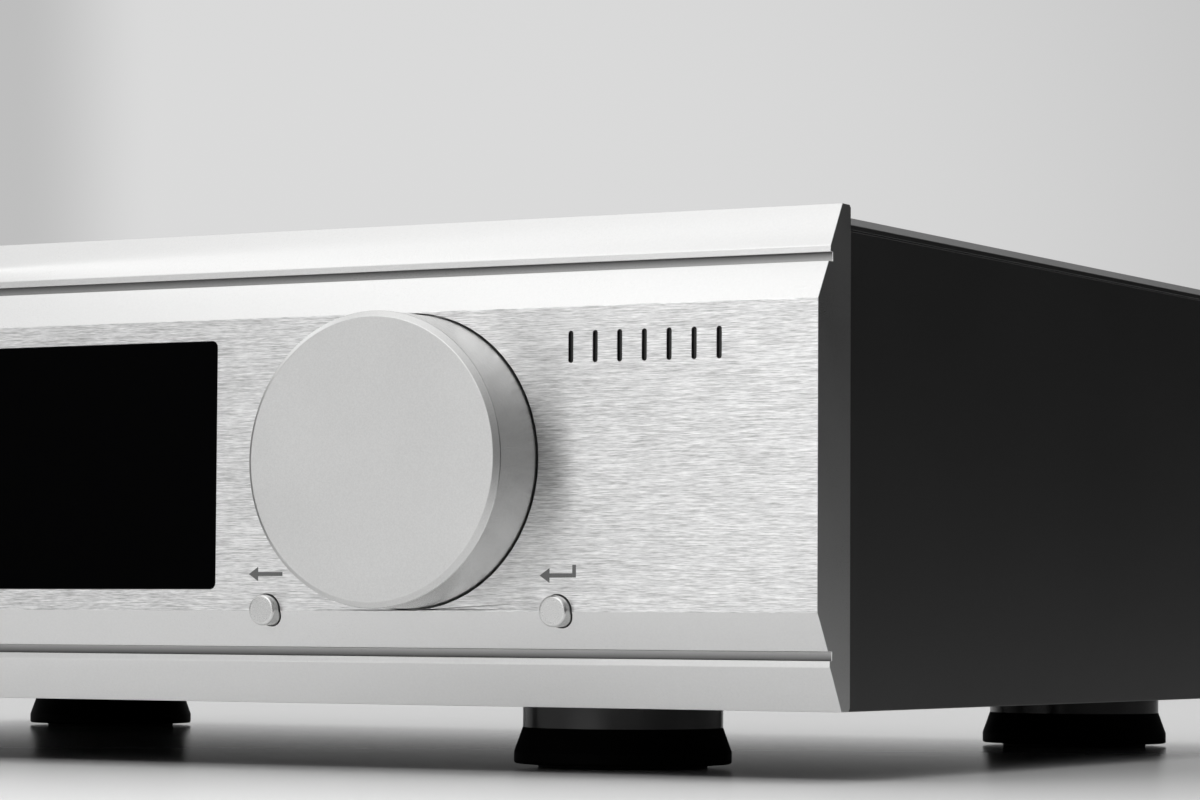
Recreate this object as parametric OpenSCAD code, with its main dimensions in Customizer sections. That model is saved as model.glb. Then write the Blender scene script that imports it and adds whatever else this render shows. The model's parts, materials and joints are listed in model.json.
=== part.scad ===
// Phono preamp: a full-width hi-fi component with a thick bevelled front panel, a display,
// one large selector knob and two push buttons, on four turned feet.
// Millimetres. +X right as seen from the front, +Y to the rear, +Z up.
// The origin is on the surface it stands on, at the centre of its overall length and width.

/* [Front panel] */
// Width of the panel and of the whole case
panel_w = 440; // [430:1:480]
// Height of the panel
panel_h = 100; // [96:1:120]
// Thickness of the panel at its flat band
panel_t = 14.5; // [13.5:0.1:18]
// Thickness left at the top and bottom edges
panel_edge_t = 3.8; // [2.5:0.1:5]
// Height of the flat brushed band
band_h = 61.2; // [58:0.1:66]
// Height of the bevel beside the band
bevel_h = 7.55; // [5:0.05:9]
// How far that bevel falls back
bevel_d = 4.65; // [3:0.05:6]
// Width of the shadow groove
groove_w = 1.8; // [1:0.1:2.4]
// Depth of the groove behind the bevel's end
groove_d = 1.9; // [1.2:0.1:2.4]
// Height of the upright land outside the groove
land_h = 1.3; // [0.8:0.1:2]
// How far the land stands behind the bevel's end
land_back = 0.85; // [0.4:0.05:1]
// Break of the panel's rear edges
edge_break = 0.6; // [0.2:0.1:1]

/* [Display] */
// Width of the display window
window_w = 157.4; // [130:0.1:165]
// Height of the display window
window_h = 52.2; // [40:0.1:56]
// Thickness of the window
window_t = 3; // [2:0.1:4]
// Corner radius of the window
window_r = 1.4; // [0.8:0.1:3]
// How far the window sits below the band
window_sink = 0.25; // [0:0.05:0.6]
// Gap round the window
window_gap = 0.1; // [0.05:0.05:0.3]
// Width of the ledge that carries the window
ledge_w = 3; // [2:0.1:5]
// Thickness of that ledge
ledge_t = 2; // [1.5:0.1:3]

/* [Knob] */
// Diameter of the selector knob
knob_d = 60.2; // [54:0.1:62]
// Distance from the panel's end to the knob's axis
knob_inset = 93.2; // [85:0.1:100]
// How far the knob's face stands in front of the band
knob_proud = 15.2; // [12:0.1:22]
// Radial gap between the knob and its pocket
knob_gap = 0.35; // [0.3:0.05:0.8]
// Depth of the pocket round the knob
pocket_d = 4; // [3:0.1:5]
// Gap between the knob's back and the pocket's floor
knob_float = 0.6; // [0.4:0.1:1]
// Chamfer round the knob's face
knob_chamfer = 1.2; // [0.6:0.1:2]
// Thickness of the knob's face
knob_face_t = 5; // [4:0.1:6.5]
// Thickness of the knob's rim
knob_rim_t = 4; // [3:0.1:8]
// Diameter of the knob's hub
hub_d = 16; // [14:0.1:20]
// Diameter of the brass insert
insert_d = 11; // [9.5:0.1:12.5]
// Diameter of the encoder's shaft
shaft_d = 6; // [5:0.1:6.5]
// Radial clearance of pushed-in pieces
push_fit = 0.02; // [0.01:0.01:0.05]
// Radial clearance of turning shafts
run_fit = 0.05; // [0.03:0.01:0.1]

/* [Encoder] */
// Width of the encoder's body
encoder_w = 14; // [12:0.1:18]
// Diameter of its threaded bush
bush_d = 9; // [8.5:0.1:10]
// Panel thickness that the bush clamps
encoder_web = 4.5; // [3.5:0.1:5.5]
// Height of the bush's nut
bush_nut_h = 2; // [1.5:0.1:2.5]
// Width of that nut over its corners
bush_nut_d = 14; // [13:0.1:15.5]
// Length of bush left in front of the nut
bush_tip = 1.5; // [0.5:0.1:2]

/* [Buttons] */
// Diameter of the two buttons
button_d = 6.4; // [5.5:0.1:7]
// Distance between their axes
button_spacing = 70; // [66:0.5:74]
// Distance of their axes below the panel's middle
button_drop = 30.5; // [29:0.1:33]
// How far a button stands in front of the band
button_proud = 2; // [1.6:0.1:3]
// Travel of a button
button_travel = 1; // [0.6:0.1:1.2]
// Radial gap round a button
button_gap = 0.2; // [0.1:0.05:0.3]
// Edge radius of a button
button_edge = 0.6; // [0.3:0.1:1]
// Panel thickness that guides a button
button_web = 6; // [5:0.1:7]
// Diameter of the collar that holds a button in
collar_d = 8.8; // [8.2:0.1:9.6]
// Thickness of that collar
collar_t = 1.5; // [1:0.1:2]
// Height of a push switch
switch_h = 4.5; // [4:0.1:5]
// Width of a push switch
switch_w = 6.2; // [5.8:0.1:6.6]
// Diameter of a switch's plunger
plunger_d = 3.4; // [3:0.1:3.8]

/* [Marks] */
// Width of one engraved mark
mark_w = 1; // [0.6:0.1:1.4]
// Height of one engraved mark
mark_h = 6.4; // [4:0.1:8]
// Depth of the engraving
mark_depth = 0.6; // [0.3:0.1:1]
// Distance between neighbouring marks
mark_pitch = 5.6; // [3:0.1:7]
// Distance from the panel's end to the middle of the row
mark_inset = 38.5; // [34:0.5:44]
// Height of the row above the panel's middle
mark_rise = 22.5; // [18:0.5:25]

/* [Case] */
// Depth of the case behind the front panel
body_d = 320; // [310:1:380]
// Thickness of a side panel
side_t = 8; // [6:0.5:12]
// Thickness of the top cover
cover_t = 2.8; // [2.4:0.1:4]
// How far the cover lies below the panel's top edge
cover_drop = 2.25; // [1:0.05:4]
// Shadow gap between the cover and the side panels
cover_gap = 0.15; // [0.1:0.05:0.4]
// Chamfer along the cover's edges
cover_chamfer = 1.8; // [1:0.1:2.2]
// Thickness of the bottom plate
bottom_t = 2; // [1.5:0.1:3]
// Height of the bottom plate above the side panels' lower edges
bottom_rise = 1; // [0.5:0.1:3]
// Thickness of the rear panel
rear_t = 3; // [2:0.1:4]
// Width of a corner post
post_w = 10; // [9:0.5:12]
// Gap between plates that lie edge to edge
plate_gap = 0.1; // [0.05:0.05:0.3]
// Width of a vent slot
vent_w = 2.6; // [2:0.1:3]
// Length of a vent slot
vent_l = 36; // [24:1:40]
// Distance between vent slots
vent_pitch = 6.5; // [5:0.1:8]

/* [Feet] */
// Height of the panel's lower edge above the surface
foot_clear = 14.2; // [12:0.1:20]
// Diameter of a foot's body
foot_d = 43.8; // [36:0.1:46]
// Diameter of its flange
flange_d = 47.6; // [46:0.1:52]
// Height of the flange's upright edge
flange_h = 2.6; // [1:0.1:4]
// Height of the flare above it
flare_h = 5.3; // [1:0.1:6]
// Diameter of the pad
pad_d = 37.3; // [30:0.1:41]
// How far the pad stands below the foot
pad_proud = 0.8; // [0.5:0.1:1.5]
// How far the pad is let into the foot
pad_seat = 1.5; // [1:0.1:2]
// Distance from the case's side to a front foot's axis
foot_inset_front = 83; // [50:1:95]
// Distance from the case's side to a rear foot's axis
foot_inset_rear = 65; // [50:1:90]
// Distance from the front panel to the front feet's axes
foot_front = 58; // [30:1:70]
// Distance from the rear face to the rear feet's axes
foot_rear = 51; // [40:1:70]

/* [Screws] */
// Shank diameter of the case screws
screw_d = 3; // [2.5:0.1:3.4]
// Head diameter of the case screws
head_d = 5.6; // [5:0.1:6.2]
// Head height of the case screws
head_h = 1.8; // [1.4:0.1:2.2]
// Shank length of the case screws in what they hold
grip = 6; // [4:0.5:8]
// Radial clearance round a screw
screw_fit = 0.08; // [0.05:0.01:0.15]
// Shank diameter of the foot screws
foot_screw_d = 4; // [3.5:0.1:5]

/* [Power side] */
// Diameter of the toroidal transformer
toroid_d = 104; // [90:1:110]
// Height of the transformer
toroid_h = 42; // [35:1:55]
// Diameter of the transformer's centre hole
toroid_bore = 30; // [24:1:40]
// Thickness of the soft rings under and over it
ring_t = 2; // [1:0.5:3]
// Diameter of the clamping bolt
bolt_d = 6; // [5:0.5:8]
// Space kept free along the inside of the case's sides
wall_room = 14; // [13:1:20]
// Space between the front feet's axes and the transformer
toroid_room = 9; // [8:1:16]
// Space kept free behind the front panel
front_room = 22; // [18:1:30]
// Space kept free in front of the rear panel
rear_room = 36; // [34:1:45]
// Gap between the transformer and the shield wall
shield_room = 20; // [16:1:30]
// Thickness of the shield wall
shield_t = 1.5; // [1:0.1:2]
// Height of the shield wall
shield_h = 80; // [50:1:85]
// Width of the shield wall's foot
shield_foot = 12; // [10:1:14]
// Diameter of a reservoir capacitor
reservoir_d = 22; // [16:1:24]
// Height of a reservoir capacitor
reservoir_h = 35; // [25:1:45]

/* [Boards] */
// Thickness of a circuit board
board_t = 1.6; // [1:0.1:2]
// Height of the standoffs under the boards
standoff_h = 8; // [5:0.5:12]
// Diameter of a standoff
standoff_d = 6; // [5.5:0.1:7]
// Gap between neighbouring boards
board_room = 6; // [4:0.5:10]
// Height of the control board
control_h = 76; // [74:1:80]
// Gap between the front panel and the control board
control_gap = 2; // [1.5:0.1:3]

/* [Rear connectors] */
// Distance from the case's inner side to the first input sockets
socket_inset = 22; // [20:0.5:26]
// Distance between the two pairs of input sockets
socket_pitch = 26; // [22:0.5:30]
// Half the height between upper and lower sockets
socket_rise = 16; // [12:0.5:20]
// Shell diameter of a phono socket
shell_d = 8.3; // [8:0.1:8.6]
// Length of its shell
shell_l = 9; // [8:0.1:10]
// Diameter of a balanced socket's cavity
cavity_d = 18.6; // [18:0.1:19]
// Depth of that cavity
cavity_l = 14; // [12:0.5:15]
// Width and height of the balanced socket's flange
xlr_w = 26; // [25:0.5:28]
// Height of that flange
xlr_h = 31; // [30:0.5:34]
// Diameter of the ground stud
stud_d = 4; // [3.5:0.1:5]
// How far the stud stands out of the rear panel
stud_proud = 16; // [15:0.5:22]
// Diameter of the thumb nut
thumb_d = 12; // [10:0.5:14]
// Length of the thumb nut
thumb_l = 9; // [6:0.5:9.5]
// Gap between the ground post's loose pieces
nut_gap = 0.2; // [0.1:0.05:0.4]

/* [Mains] */
// Distance from the case's inner side to the inlet's axis
inlet_inset = 40; // [32:1:45]
// Distance from the inlet's axis to the switch's axis
switch_offset = 34; // [28:1:40]
// Depth of the inlet's cavity
inlet_depth = 16; // [14:0.5:18]
// Travel of the fuse drawer
drawer_travel = 12; // [8:0.5:12]
// Gap round the fuse drawer
drawer_gap = 0.3; // [0.2:0.05:0.4]
// Tilt of the rocker to each side
rocker_tilt = 12; // [8:1:14]

/* [Hidden] */
$fn = 96;

// Heights, measured up from the panel's lower edge
mid_z = panel_h / 2;
cover_top = panel_h - cover_drop;
cover_low = cover_top - cover_t;
side_h = cover_low - cover_gap;
floor_z = bottom_rise + bottom_t;
board_z = floor_z + standoff_h;
board_top = board_z + board_t;

// Sideways, measured from the middle
inner_x = panel_w / 2 - side_t;
plate_w = 2 * (inner_x - plate_gap);
knob_x = panel_w / 2 - knob_inset;
shield_x = -inner_x + wall_room + toroid_d + shield_room;
toroid_x = -inner_x + wall_room + toroid_d / 2;

// Depths, measured back from the panel's rear face; the panel itself is at negative values
band_y = -panel_t;
bevel_y = band_y + bevel_d;
land_y = bevel_y + land_back;
groove_y = bevel_y + groove_d;
pocket_y = band_y + pocket_d;
web_y = pocket_y + encoder_web;
rear_in = body_d - rear_t;
toroid_y = foot_front + toroid_room + toroid_d / 2;
toroid_back = toroid_y + toroid_d / 2;
panel_back_y = -(body_d + stud_proud - panel_t - knob_proud) / 2;

// Half heights of the panel's steps
bevel_end = band_h / 2 + bevel_h;
groove_end = bevel_end + groove_w;
land_end = groove_end + land_h;

// Knob
knob_r = knob_d / 2;
face_y = band_y - knob_proud;
knob_back_y = pocket_y - knob_float;
bush_end_y = pocket_y - bush_nut_h - bush_tip;
hub_end_y = bush_end_y - 2 * knob_gap;
insert_l = hub_end_y - face_y - knob_face_t;
bush_hole_d = bush_d + 2 * button_gap;

// Buttons and their switches
button_z = mid_z - button_drop;
button_xs = [knob_x - button_spacing / 2, knob_x + button_spacing / 2];
seat_y = band_y + button_web;
collar_y = seat_y + 0.3;
plunger_y = collar_y + collar_t;
switch_y = control_gap - switch_h;
plunger_in = 0.5;
well_d = collar_d + 0.8;

// Window and display module
module_room = 0.3;
module_w = window_w - 2 * ledge_w + 4;
module_h = window_h - 2 * ledge_w + 4;
ledge_y = band_y + window_sink + window_t;
module_y = ledge_y + ledge_t;

// Control board
control_x0 = -module_w / 2 - 8;
control_x1 = knob_x + button_spacing / 2 + 18;
control_w = control_x1 - control_x0;
control_y1 = control_gap + board_t;
board_inset = 5;
control_spots = [for (x = [control_x0 + board_inset, (control_x0 + control_x1) / 2 - 4,
                           control_x1 - board_inset])
                 for (side = [-1, 1]) [x, mid_z + side * (control_h / 2 - board_inset)]];

// Boards that lie on standoffs: [left, right, front, rear]
power_area = [-inner_x + wall_room, shield_x - shield_foot - board_room,
              toroid_back + wall_room, rear_in - rear_room];
phono_front = toroid_back;
phono_left_x = shield_x + shield_t + board_room;
phono_w = (inner_x - wall_room + board_room - phono_left_x - board_room) / 2;
phono_area_l = [phono_left_x, phono_left_x + phono_w, phono_front, rear_in - rear_room];
phono_area_r = [phono_left_x + phono_w + board_room, phono_left_x + 2 * phono_w + board_room,
                phono_front, rear_in - rear_room];
areas = [power_area, phono_area_l, phono_area_r];
phono_areas = [phono_area_l, phono_area_r];

// Feet
foot_spots = [for (spot = [[foot_inset_front, foot_front], [foot_inset_rear, body_d - foot_rear]])
              for (side = [-1, 1]) [side * (panel_w / 2 - spot[0]), spot[1]]];
foot_bottom = -foot_clear + pad_proud;
foot_top = bottom_rise;

// Posts and their screws
post_x = inner_x - post_w / 2;
post_ys = [post_w / 2, rear_in - post_w / 2];
post_low = floor_z + 17;
post_high = cover_low - 15;
post_side = [floor_z + 32, cover_low - 30];
sink_h = 1.8;
low_head = 0.9 * bottom_rise;

// Rear connectors
input_xs = [inner_x - socket_inset, inner_x - socket_inset - socket_pitch];
ground_x = input_xs[1] - 24;
output_x = ground_x - 26;
xlr_gap = 10;
xlr_xs = [output_x - xlr_gap - xlr_w, output_x - 2 * (xlr_gap + xlr_w)];
socket_zs = [mid_z - socket_rise, mid_z + socket_rise];
socket_spots = [for (x = [input_xs[0], input_xs[1], output_x]) for (z = socket_zs) [x, z]];
ring_h = 1.2;
ring_d = 16;
inner_ring_d = 15;
socket_flange = 2;
socket_flange_d = 14;
socket_nut_w = 13;
centre_bore = 3.4;
barrel_d = shell_d + 0.7;
barrel_hole_d = barrel_d + 2.2;
shell_bore = shell_d - 1.9;
xlr_flange = 2;
xlr_corner = 3;
xlr_screw_inset = 3.4;
xlr_wall = 2;
xlr_back = 5;
xlr_barrel = cavity_d + 2 * xlr_wall;
pin_end = 1.5;
pin_circle = 4.5;
pin_d = 2.4;
stud_collar = 2.5;
stud_in = 9;

// Mains inlet, its drawer and the switch
inlet_x = -inner_x + inlet_inset;
inlet_w = 31;
inlet_h = 46;
inlet_body_w = 27.4;
inlet_body_h = 40;
inlet_flange = 3;
inlet_z = mid_z + 9;
inlet_hole = [24.2, 16.4, 5.2];
blade_l = inlet_depth - 2;
drawer_z = mid_z - 12.5;
drawer_w = 22.4;
drawer_h = 8.4;
drawer_l = 16;
drawer_face = 1.8;
fuse_d = 5.2;
fuse_l = 20;
switch_x = inlet_x + switch_offset;
switch_flange = 1.5;
switch_body = [13.4, 19.4, 17];
switch_cavity = [11.2, 17.2, 9.2];
rocker_w = 10.6;
rocker_half = 7.6;
pivot_y = body_d - 1;

// Puts everything in the part's own frame
module placed() translate([0, panel_back_y, foot_clear]) children();

// A plane shape in Y and Z, drawn out along X about the middle
module along_x(w) translate([-w / 2, 0, 0]) rotate([90, 0, 90]) linear_extrude(w) children();

// A plane shape in X and Z, drawn out along Y
module along_y(y0, y1) translate([0, y1, 0]) rotate([90, 0, 0]) linear_extrude(y1 - y0) children();

// A rod along Y
module rod_y(d, y0, y1) translate([0, y0, 0]) rotate([-90, 0, 0]) cylinder(d = d, h = y1 - y0);

// A plane shape in radius and Y, turned about Y
module turned_y() rotate([-90, 0, 0]) rotate_extrude() children();

// A box from two opposite corners
module box(low, high) translate(low) cube(high - low);

// Corner points of a rectangle with round corners, about its middle
function rounded(w, h, r, n = 6) =
    [for (c = [0:3], k = [0:n])
        let (a = 90 * c + 90 * k / n, sx = (c == 0 || c == 3) ? 1 : -1, sy = c < 2 ? 1 : -1)
        [sx * (w / 2 - r) + r * cos(a), sy * (h / 2 - r) + r * sin(a)]];

// A screw with its head upward from z = 0 and a hexagon socket
module screw(d = screw_d, l = grip, hd = head_d, hh = head_h) {
    difference() {
        union() {
            translate([0, 0, -l]) cylinder(d = d, h = l);
            cylinder(d = hd, h = hh);
        }
        translate([0, 0, hh * 0.4]) cylinder(d = hd * 0.5, h = hh, $fn = 6);
    }
}

// A countersunk screw, flush at z = 0, and the hole for it
module flush_screw(l) {
    difference() {
        union() {
            translate([0, 0, -l]) cylinder(d = screw_d, h = l);
            translate([0, 0, -sink_h]) cylinder(d1 = screw_d, d2 = head_d, h = sink_h);
        }
        translate([0, 0, -sink_h * 0.6]) cylinder(d = screw_d * 0.7, h = sink_h, $fn = 6);
    }
}

module flush_hole(l) {
    translate([0, 0, -l]) cylinder(d = screw_d + 2 * screw_fit, h = l);
    translate([0, 0, -sink_h - screw_fit])
        cylinder(d1 = screw_d + 2 * screw_fit, d2 = head_d + 2 * screw_fit + 0.2,
                 h = sink_h + screw_fit + 0.1);
}

// A round hole along Z
module hole_z(d, z0, z1) translate([0, 0, z0]) cylinder(d = d, h = z1 - z0);

// ---- Front panel and what it carries ----

module panel_profile() {
    half = [[band_y, band_h / 2], [bevel_y, bevel_end], [groove_y, bevel_end],
            [groove_y, groove_end], [land_y, groove_end], [land_y, land_end],
            [-panel_edge_t, panel_h / 2], [-edge_break, panel_h / 2],
            [0, panel_h / 2 - edge_break]];
    n = len(half);
    polygon(concat(half, [for (i = [n - 1:-1:0]) [half[i][0], -half[i][1]]]));
}

module front_panel() color("silver") placed() difference() {
    translate([0, 0, mid_z]) along_x(panel_w) panel_profile();
    // Window rebate, view opening and the space for the display module
    translate([0, 0, mid_z]) {
        along_y(band_y - 1, ledge_y)
            polygon(rounded(window_w + 2 * window_gap, window_h + 2 * window_gap, window_r));
        along_y(ledge_y - 1, 1)
            polygon(rounded(window_w - 2 * ledge_w, window_h - 2 * ledge_w, window_r));
        along_y(module_y, 1)
            polygon(rounded(module_w + 2 * module_room, module_h + 2 * module_room, window_r));
    }
    // Knob pocket, bush hole and the space for the encoder
    translate([knob_x, 0, mid_z]) {
        rod_y(knob_d + 2 * knob_gap, band_y - 1, pocket_y);
        rod_y(bush_hole_d, pocket_y - 1, 1);
        along_y(web_y, 1) square(encoder_w + 2 * module_room, center = true);
    }
    // A row of plain upright marks
    for (i = [-3:3]) translate([panel_w / 2 - mark_inset + i * mark_pitch, 0, mid_z + mark_rise])
        along_y(band_y - 1, band_y + mark_depth) polygon(rounded(mark_w, mark_h, mark_w / 2));
    // Button bores and the wells behind them
    for (x = button_xs) translate([x, 0, button_z]) {
        rod_y(button_d + 2 * button_gap, band_y - 1, 1);
        rod_y(well_d, seat_y, 1);
    }
    // Blind holes for the control board's screws and the post screws
    for (p = control_spots) translate([p[0], 0, p[1]])
        rod_y(screw_d + 2 * screw_fit, -4.5, 1);
    for (side = [-1, 1], z = [post_low, post_high]) translate([side * post_x, 0, z])
        rod_y(screw_d + 2 * screw_fit, -4.5, 1);
}

module display_window() color([0.01, 0.01, 0.012]) placed() translate([0, 0, mid_z])
    along_y(band_y + window_sink, ledge_y) polygon(rounded(window_w, window_h, window_r));

module display_module() color([0.15, 0.15, 0.16]) placed() translate([0, 0, mid_z])
    difference() {
        along_y(module_y, control_gap) polygon(rounded(module_w, module_h, window_r));
        // The glass lies a little below the frame's front
        along_y(module_y - 1, module_y + 0.6) square([module_w - 12, module_h - 10], center = true);
    }

module control_board() color("darkgreen") placed() {
    difference() {
        box([control_x0, control_gap, mid_z - control_h / 2],
            [control_x1, control_y1, mid_z + control_h / 2]);
        for (p = control_spots) translate([p[0], 0, p[1]])
            rod_y(screw_d + 2 * screw_fit, control_gap - 1, control_y1 + 1);
    }
    // Processor, header for the ribbon cables and a row of small parts on the rear
    for (b = [[-40, 12, 16, 16, 1.4], [10, -18, 26, 8, 3], [60, 10, 10, 14, 1.6]])
        translate([b[0], control_y1, mid_z + b[1]])
            along_y(0, b[4]) square([b[2], b[3]], center = true);
}

module encoder_body() color([0.35, 0.37, 0.4]) placed() translate([knob_x, 0, mid_z])
    difference() {
        union() {
            along_y(web_y, control_gap) square(encoder_w, center = true);
            rod_y(bush_d, bush_end_y, web_y + 1);
        }
        rod_y(shaft_d + 2 * run_fit, bush_end_y - 1, web_y + 4);
    }

module encoder_nut() color("gainsboro") placed() translate([knob_x, 0, mid_z]) difference() {
    translate([0, pocket_y - bush_nut_h, 0]) rotate([-90, 0, 0])
        cylinder(d = bush_nut_d, h = bush_nut_h, $fn = 6);
    rod_y(bush_d + 2 * screw_fit, pocket_y - bush_nut_h - 1, pocket_y + 1);
}

module push_switches() color([0.08, 0.08, 0.09]) placed()
    for (x = button_xs) translate([x, 0, button_z]) difference() {
        along_y(switch_y, control_gap) square(switch_w, center = true);
        rod_y(plunger_d + 2 * button_gap, switch_y - 1, switch_y + plunger_in + button_travel + 0.5);
    }

module selector_knob() color([0.8, 0.8, 0.8]) placed() translate([knob_x, 0, mid_z])
    turned_y() polygon([
        [0, face_y], [knob_r - knob_chamfer, face_y], [knob_r, face_y + knob_chamfer],
        [knob_r, knob_back_y - 0.4], [knob_r - 0.4, knob_back_y],
        [knob_r - knob_rim_t, knob_back_y], [knob_r - knob_rim_t, face_y + knob_face_t],
        [hub_d / 2, face_y + knob_face_t], [hub_d / 2, hub_end_y],
        [insert_d / 2, hub_end_y], [insert_d / 2, face_y + knob_face_t],
        [0, face_y + knob_face_t]]);

module knob_insert() color("goldenrod") placed() translate([knob_x, 0, mid_z]) difference() {
    rod_y(insert_d - 2 * push_fit, hub_end_y - insert_l, hub_end_y);
    rod_y(shaft_d + 2 * push_fit, hub_end_y - insert_l + 1, hub_end_y + 1);
}

module encoder_shaft() color("silver") placed() translate([knob_x, 0, mid_z])
    rod_y(shaft_d, hub_end_y - insert_l + 1.2, web_y + 3.6);

module button(x) translate([x, 0, button_z]) {
    face = band_y - button_proud;
    r = button_d / 2;
    turned_y() polygon(concat(
        [[0, face]],
        [for (k = [0:6]) let (a = 90 * k / 6)
            [r - button_edge + button_edge * sin(a), face + button_edge - button_edge * cos(a)]],
        [[r, collar_y], [collar_d / 2, collar_y], [collar_d / 2, plunger_y], [0, plunger_y]]));
}

module plunger(x) translate([x, 0, button_z])
    rod_y(plunger_d, plunger_y, switch_y + plunger_in);

module back_button() color([0.82, 0.82, 0.82]) placed() button(button_xs[0]);
module enter_button() color([0.82, 0.82, 0.82]) placed() button(button_xs[1]);
module back_plunger() color("ivory") placed() plunger(button_xs[0]);
module enter_plunger() color("ivory") placed() plunger(button_xs[1]);

// ---- Case ----

module side_panel() difference() {
    box([inner_x, 0, 0], [panel_w / 2, body_d, side_h]);
    for (y = post_ys, z = post_side) translate([inner_x - 1, y, z]) rotate([0, 90, 0])
        cylinder(d = screw_d + 2 * screw_fit, h = 5.2);
}

module side_panel_right() color([0.07, 0.07, 0.07]) placed() side_panel();
module side_panel_left() color([0.07, 0.07, 0.07]) placed() mirror([1, 0, 0]) side_panel();

// Rows of vent slots over the power board and the transformer
module vent_slots(z0, z1, rows) {
    centre_x = (power_area[0] + power_area[1]) / 2;
    count = floor((power_area[1] - power_area[0] - 16) / vent_pitch / 2);
    for (y = rows, i = [-count:count])
        translate([centre_x + i * vent_pitch, y, z0])
            linear_extrude(z1 - z0) polygon(rounded(vent_w, vent_l, vent_w / 2));
}

vent_rows = [power_area[3] - vent_l / 2 - 8, power_area[3] - 3 * vent_l / 2 - 18];

module top_cover() color([0.06, 0.06, 0.06]) placed() difference() {
    intersection() {
        along_y(0, body_d) polygon([
            [-panel_w / 2, cover_low], [panel_w / 2, cover_low],
            [panel_w / 2, cover_top - cover_chamfer],
            [panel_w / 2 - cover_chamfer, cover_top],
            [-panel_w / 2 + cover_chamfer, cover_top],
            [-panel_w / 2, cover_top - cover_chamfer]]);
        along_x(panel_w + 2) polygon([
            [0, cover_low], [body_d, cover_low], [body_d, cover_top - cover_chamfer],
            [body_d - cover_chamfer, cover_top], [0, cover_top]]);
    }
    for (side = [-1, 1], y = post_ys) translate([side * post_x, y, cover_top])
        flush_hole(cover_t + 1);
    vent_slots(cover_low - 1, cover_top + 1, vent_rows);
}

module bottom_plate() color([0.12, 0.12, 0.12]) placed() difference() {
    box([-plate_w / 2, 0, bottom_rise], [plate_w / 2, rear_in, floor_z]);
    for (side = [-1, 1], y = post_ys) translate([side * post_x, y, 0])
        hole_z(screw_d + 2 * screw_fit, 0, floor_z + 1);
    for (p = foot_spots) translate([p[0], p[1], 0])
        hole_z(foot_screw_d + 2 * screw_fit, 0, floor_z + 1);
    for (a = areas, p = spots(a)) translate([p[0], p[1], 0])
        hole_z(screw_d + 2 * screw_fit, 0, floor_z + 1);
    translate([toroid_x, toroid_y, 0]) hole_z(bolt_d + 2 * screw_fit, 0, floor_z + 1);
    vent_slots(bottom_rise - 1, floor_z + 1, [vent_rows[1]]);
}

module rear_panel() color([0.07, 0.07, 0.07]) placed() difference() {
    box([-plate_w / 2, rear_in, 0], [plate_w / 2, body_d, side_h]);
    for (side = [-1, 1], z = [post_low, post_high]) translate([side * post_x, 0, z])
        rod_y(screw_d + 2 * screw_fit, rear_in - 1, body_d + 1);
    for (p = socket_spots) translate([p[0], 0, p[1]])
        rod_y(barrel_hole_d, rear_in - 1, body_d + 1);
    for (x = xlr_xs) translate([x, 0, mid_z]) {
        rod_y(xlr_barrel + 0.4, rear_in - 1, body_d + 1);
        xlr_screw_spots() rod_y(screw_d + 2 * screw_fit, rear_in - 1, body_d + 1);
    }
    translate([ground_x, 0, mid_z]) rod_y(stud_d + 2 * screw_fit, rear_in - 1, body_d + 1);
    translate([inlet_x, 0, mid_z]) along_y(rear_in - 1, body_d + 1)
        square([inlet_body_w + 0.4, inlet_body_h + 0.4], center = true);
    translate([switch_x, 0, mid_z]) along_y(rear_in - 1, body_d + 1)
        square([switch_body[0] + 0.4, switch_body[1] + 0.4], center = true);
}

module corner_posts() color("silver") placed()
    for (side = [-1, 1], y = post_ys) translate([side * post_x, y, 0]) difference() {
        box([-post_w / 2, -post_w / 2, floor_z], [post_w / 2, post_w / 2, cover_low]);
        hole_z(screw_d + 2 * screw_fit, floor_z - 1, floor_z + grip + 0.5);
        hole_z(screw_d + 2 * screw_fit, cover_low - grip - 0.5, cover_low + 1);
        for (z = [post_low, post_high]) translate([0, 0, z])
            rod_y(screw_d + 2 * screw_fit, -post_w, post_w);
        for (z = post_side) translate([-post_w, 0, z]) rotate([0, 90, 0])
            cylinder(d = screw_d + 2 * screw_fit, h = 2 * post_w);
    }

module cover_screws() color([0.1, 0.1, 0.1]) placed()
    for (side = [-1, 1], y = post_ys) translate([side * post_x, y, cover_top])
        flush_screw(cover_t + grip);

module rear_screws() color([0.1, 0.1, 0.1]) placed() {
    for (side = [-1, 1], z = [post_low, post_high]) translate([side * post_x, body_d, z])
        rotate([-90, 0, 0]) screw(l = rear_t + grip - 1);
    for (x = xlr_xs) translate([x, body_d + xlr_flange, mid_z])
        xlr_screw_spots() rotate([-90, 0, 0]) screw(l = xlr_flange + rear_t);
}

module bottom_screws() color("silver") placed() {
    for (side = [-1, 1], y = post_ys) translate([side * post_x, y, bottom_rise])
        rotate([180, 0, 0]) screw(l = bottom_t + grip, hh = low_head);
    // Screws up through the feet, with nuts inside
    for (p = foot_spots) translate([p[0], p[1], 0]) {
        translate([0, 0, foot_screw_z]) rotate([180, 0, 0])
            screw(foot_screw_d, floor_z - foot_screw_z + 4.5, foot_head_d, foot_head_h);
        difference() {
            hole_z(8, floor_z, floor_z + 3.2, $fn = 6);
            hole_z(foot_screw_d + 2 * screw_fit, floor_z - 1, floor_z + 4);
        }
    }
}

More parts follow.
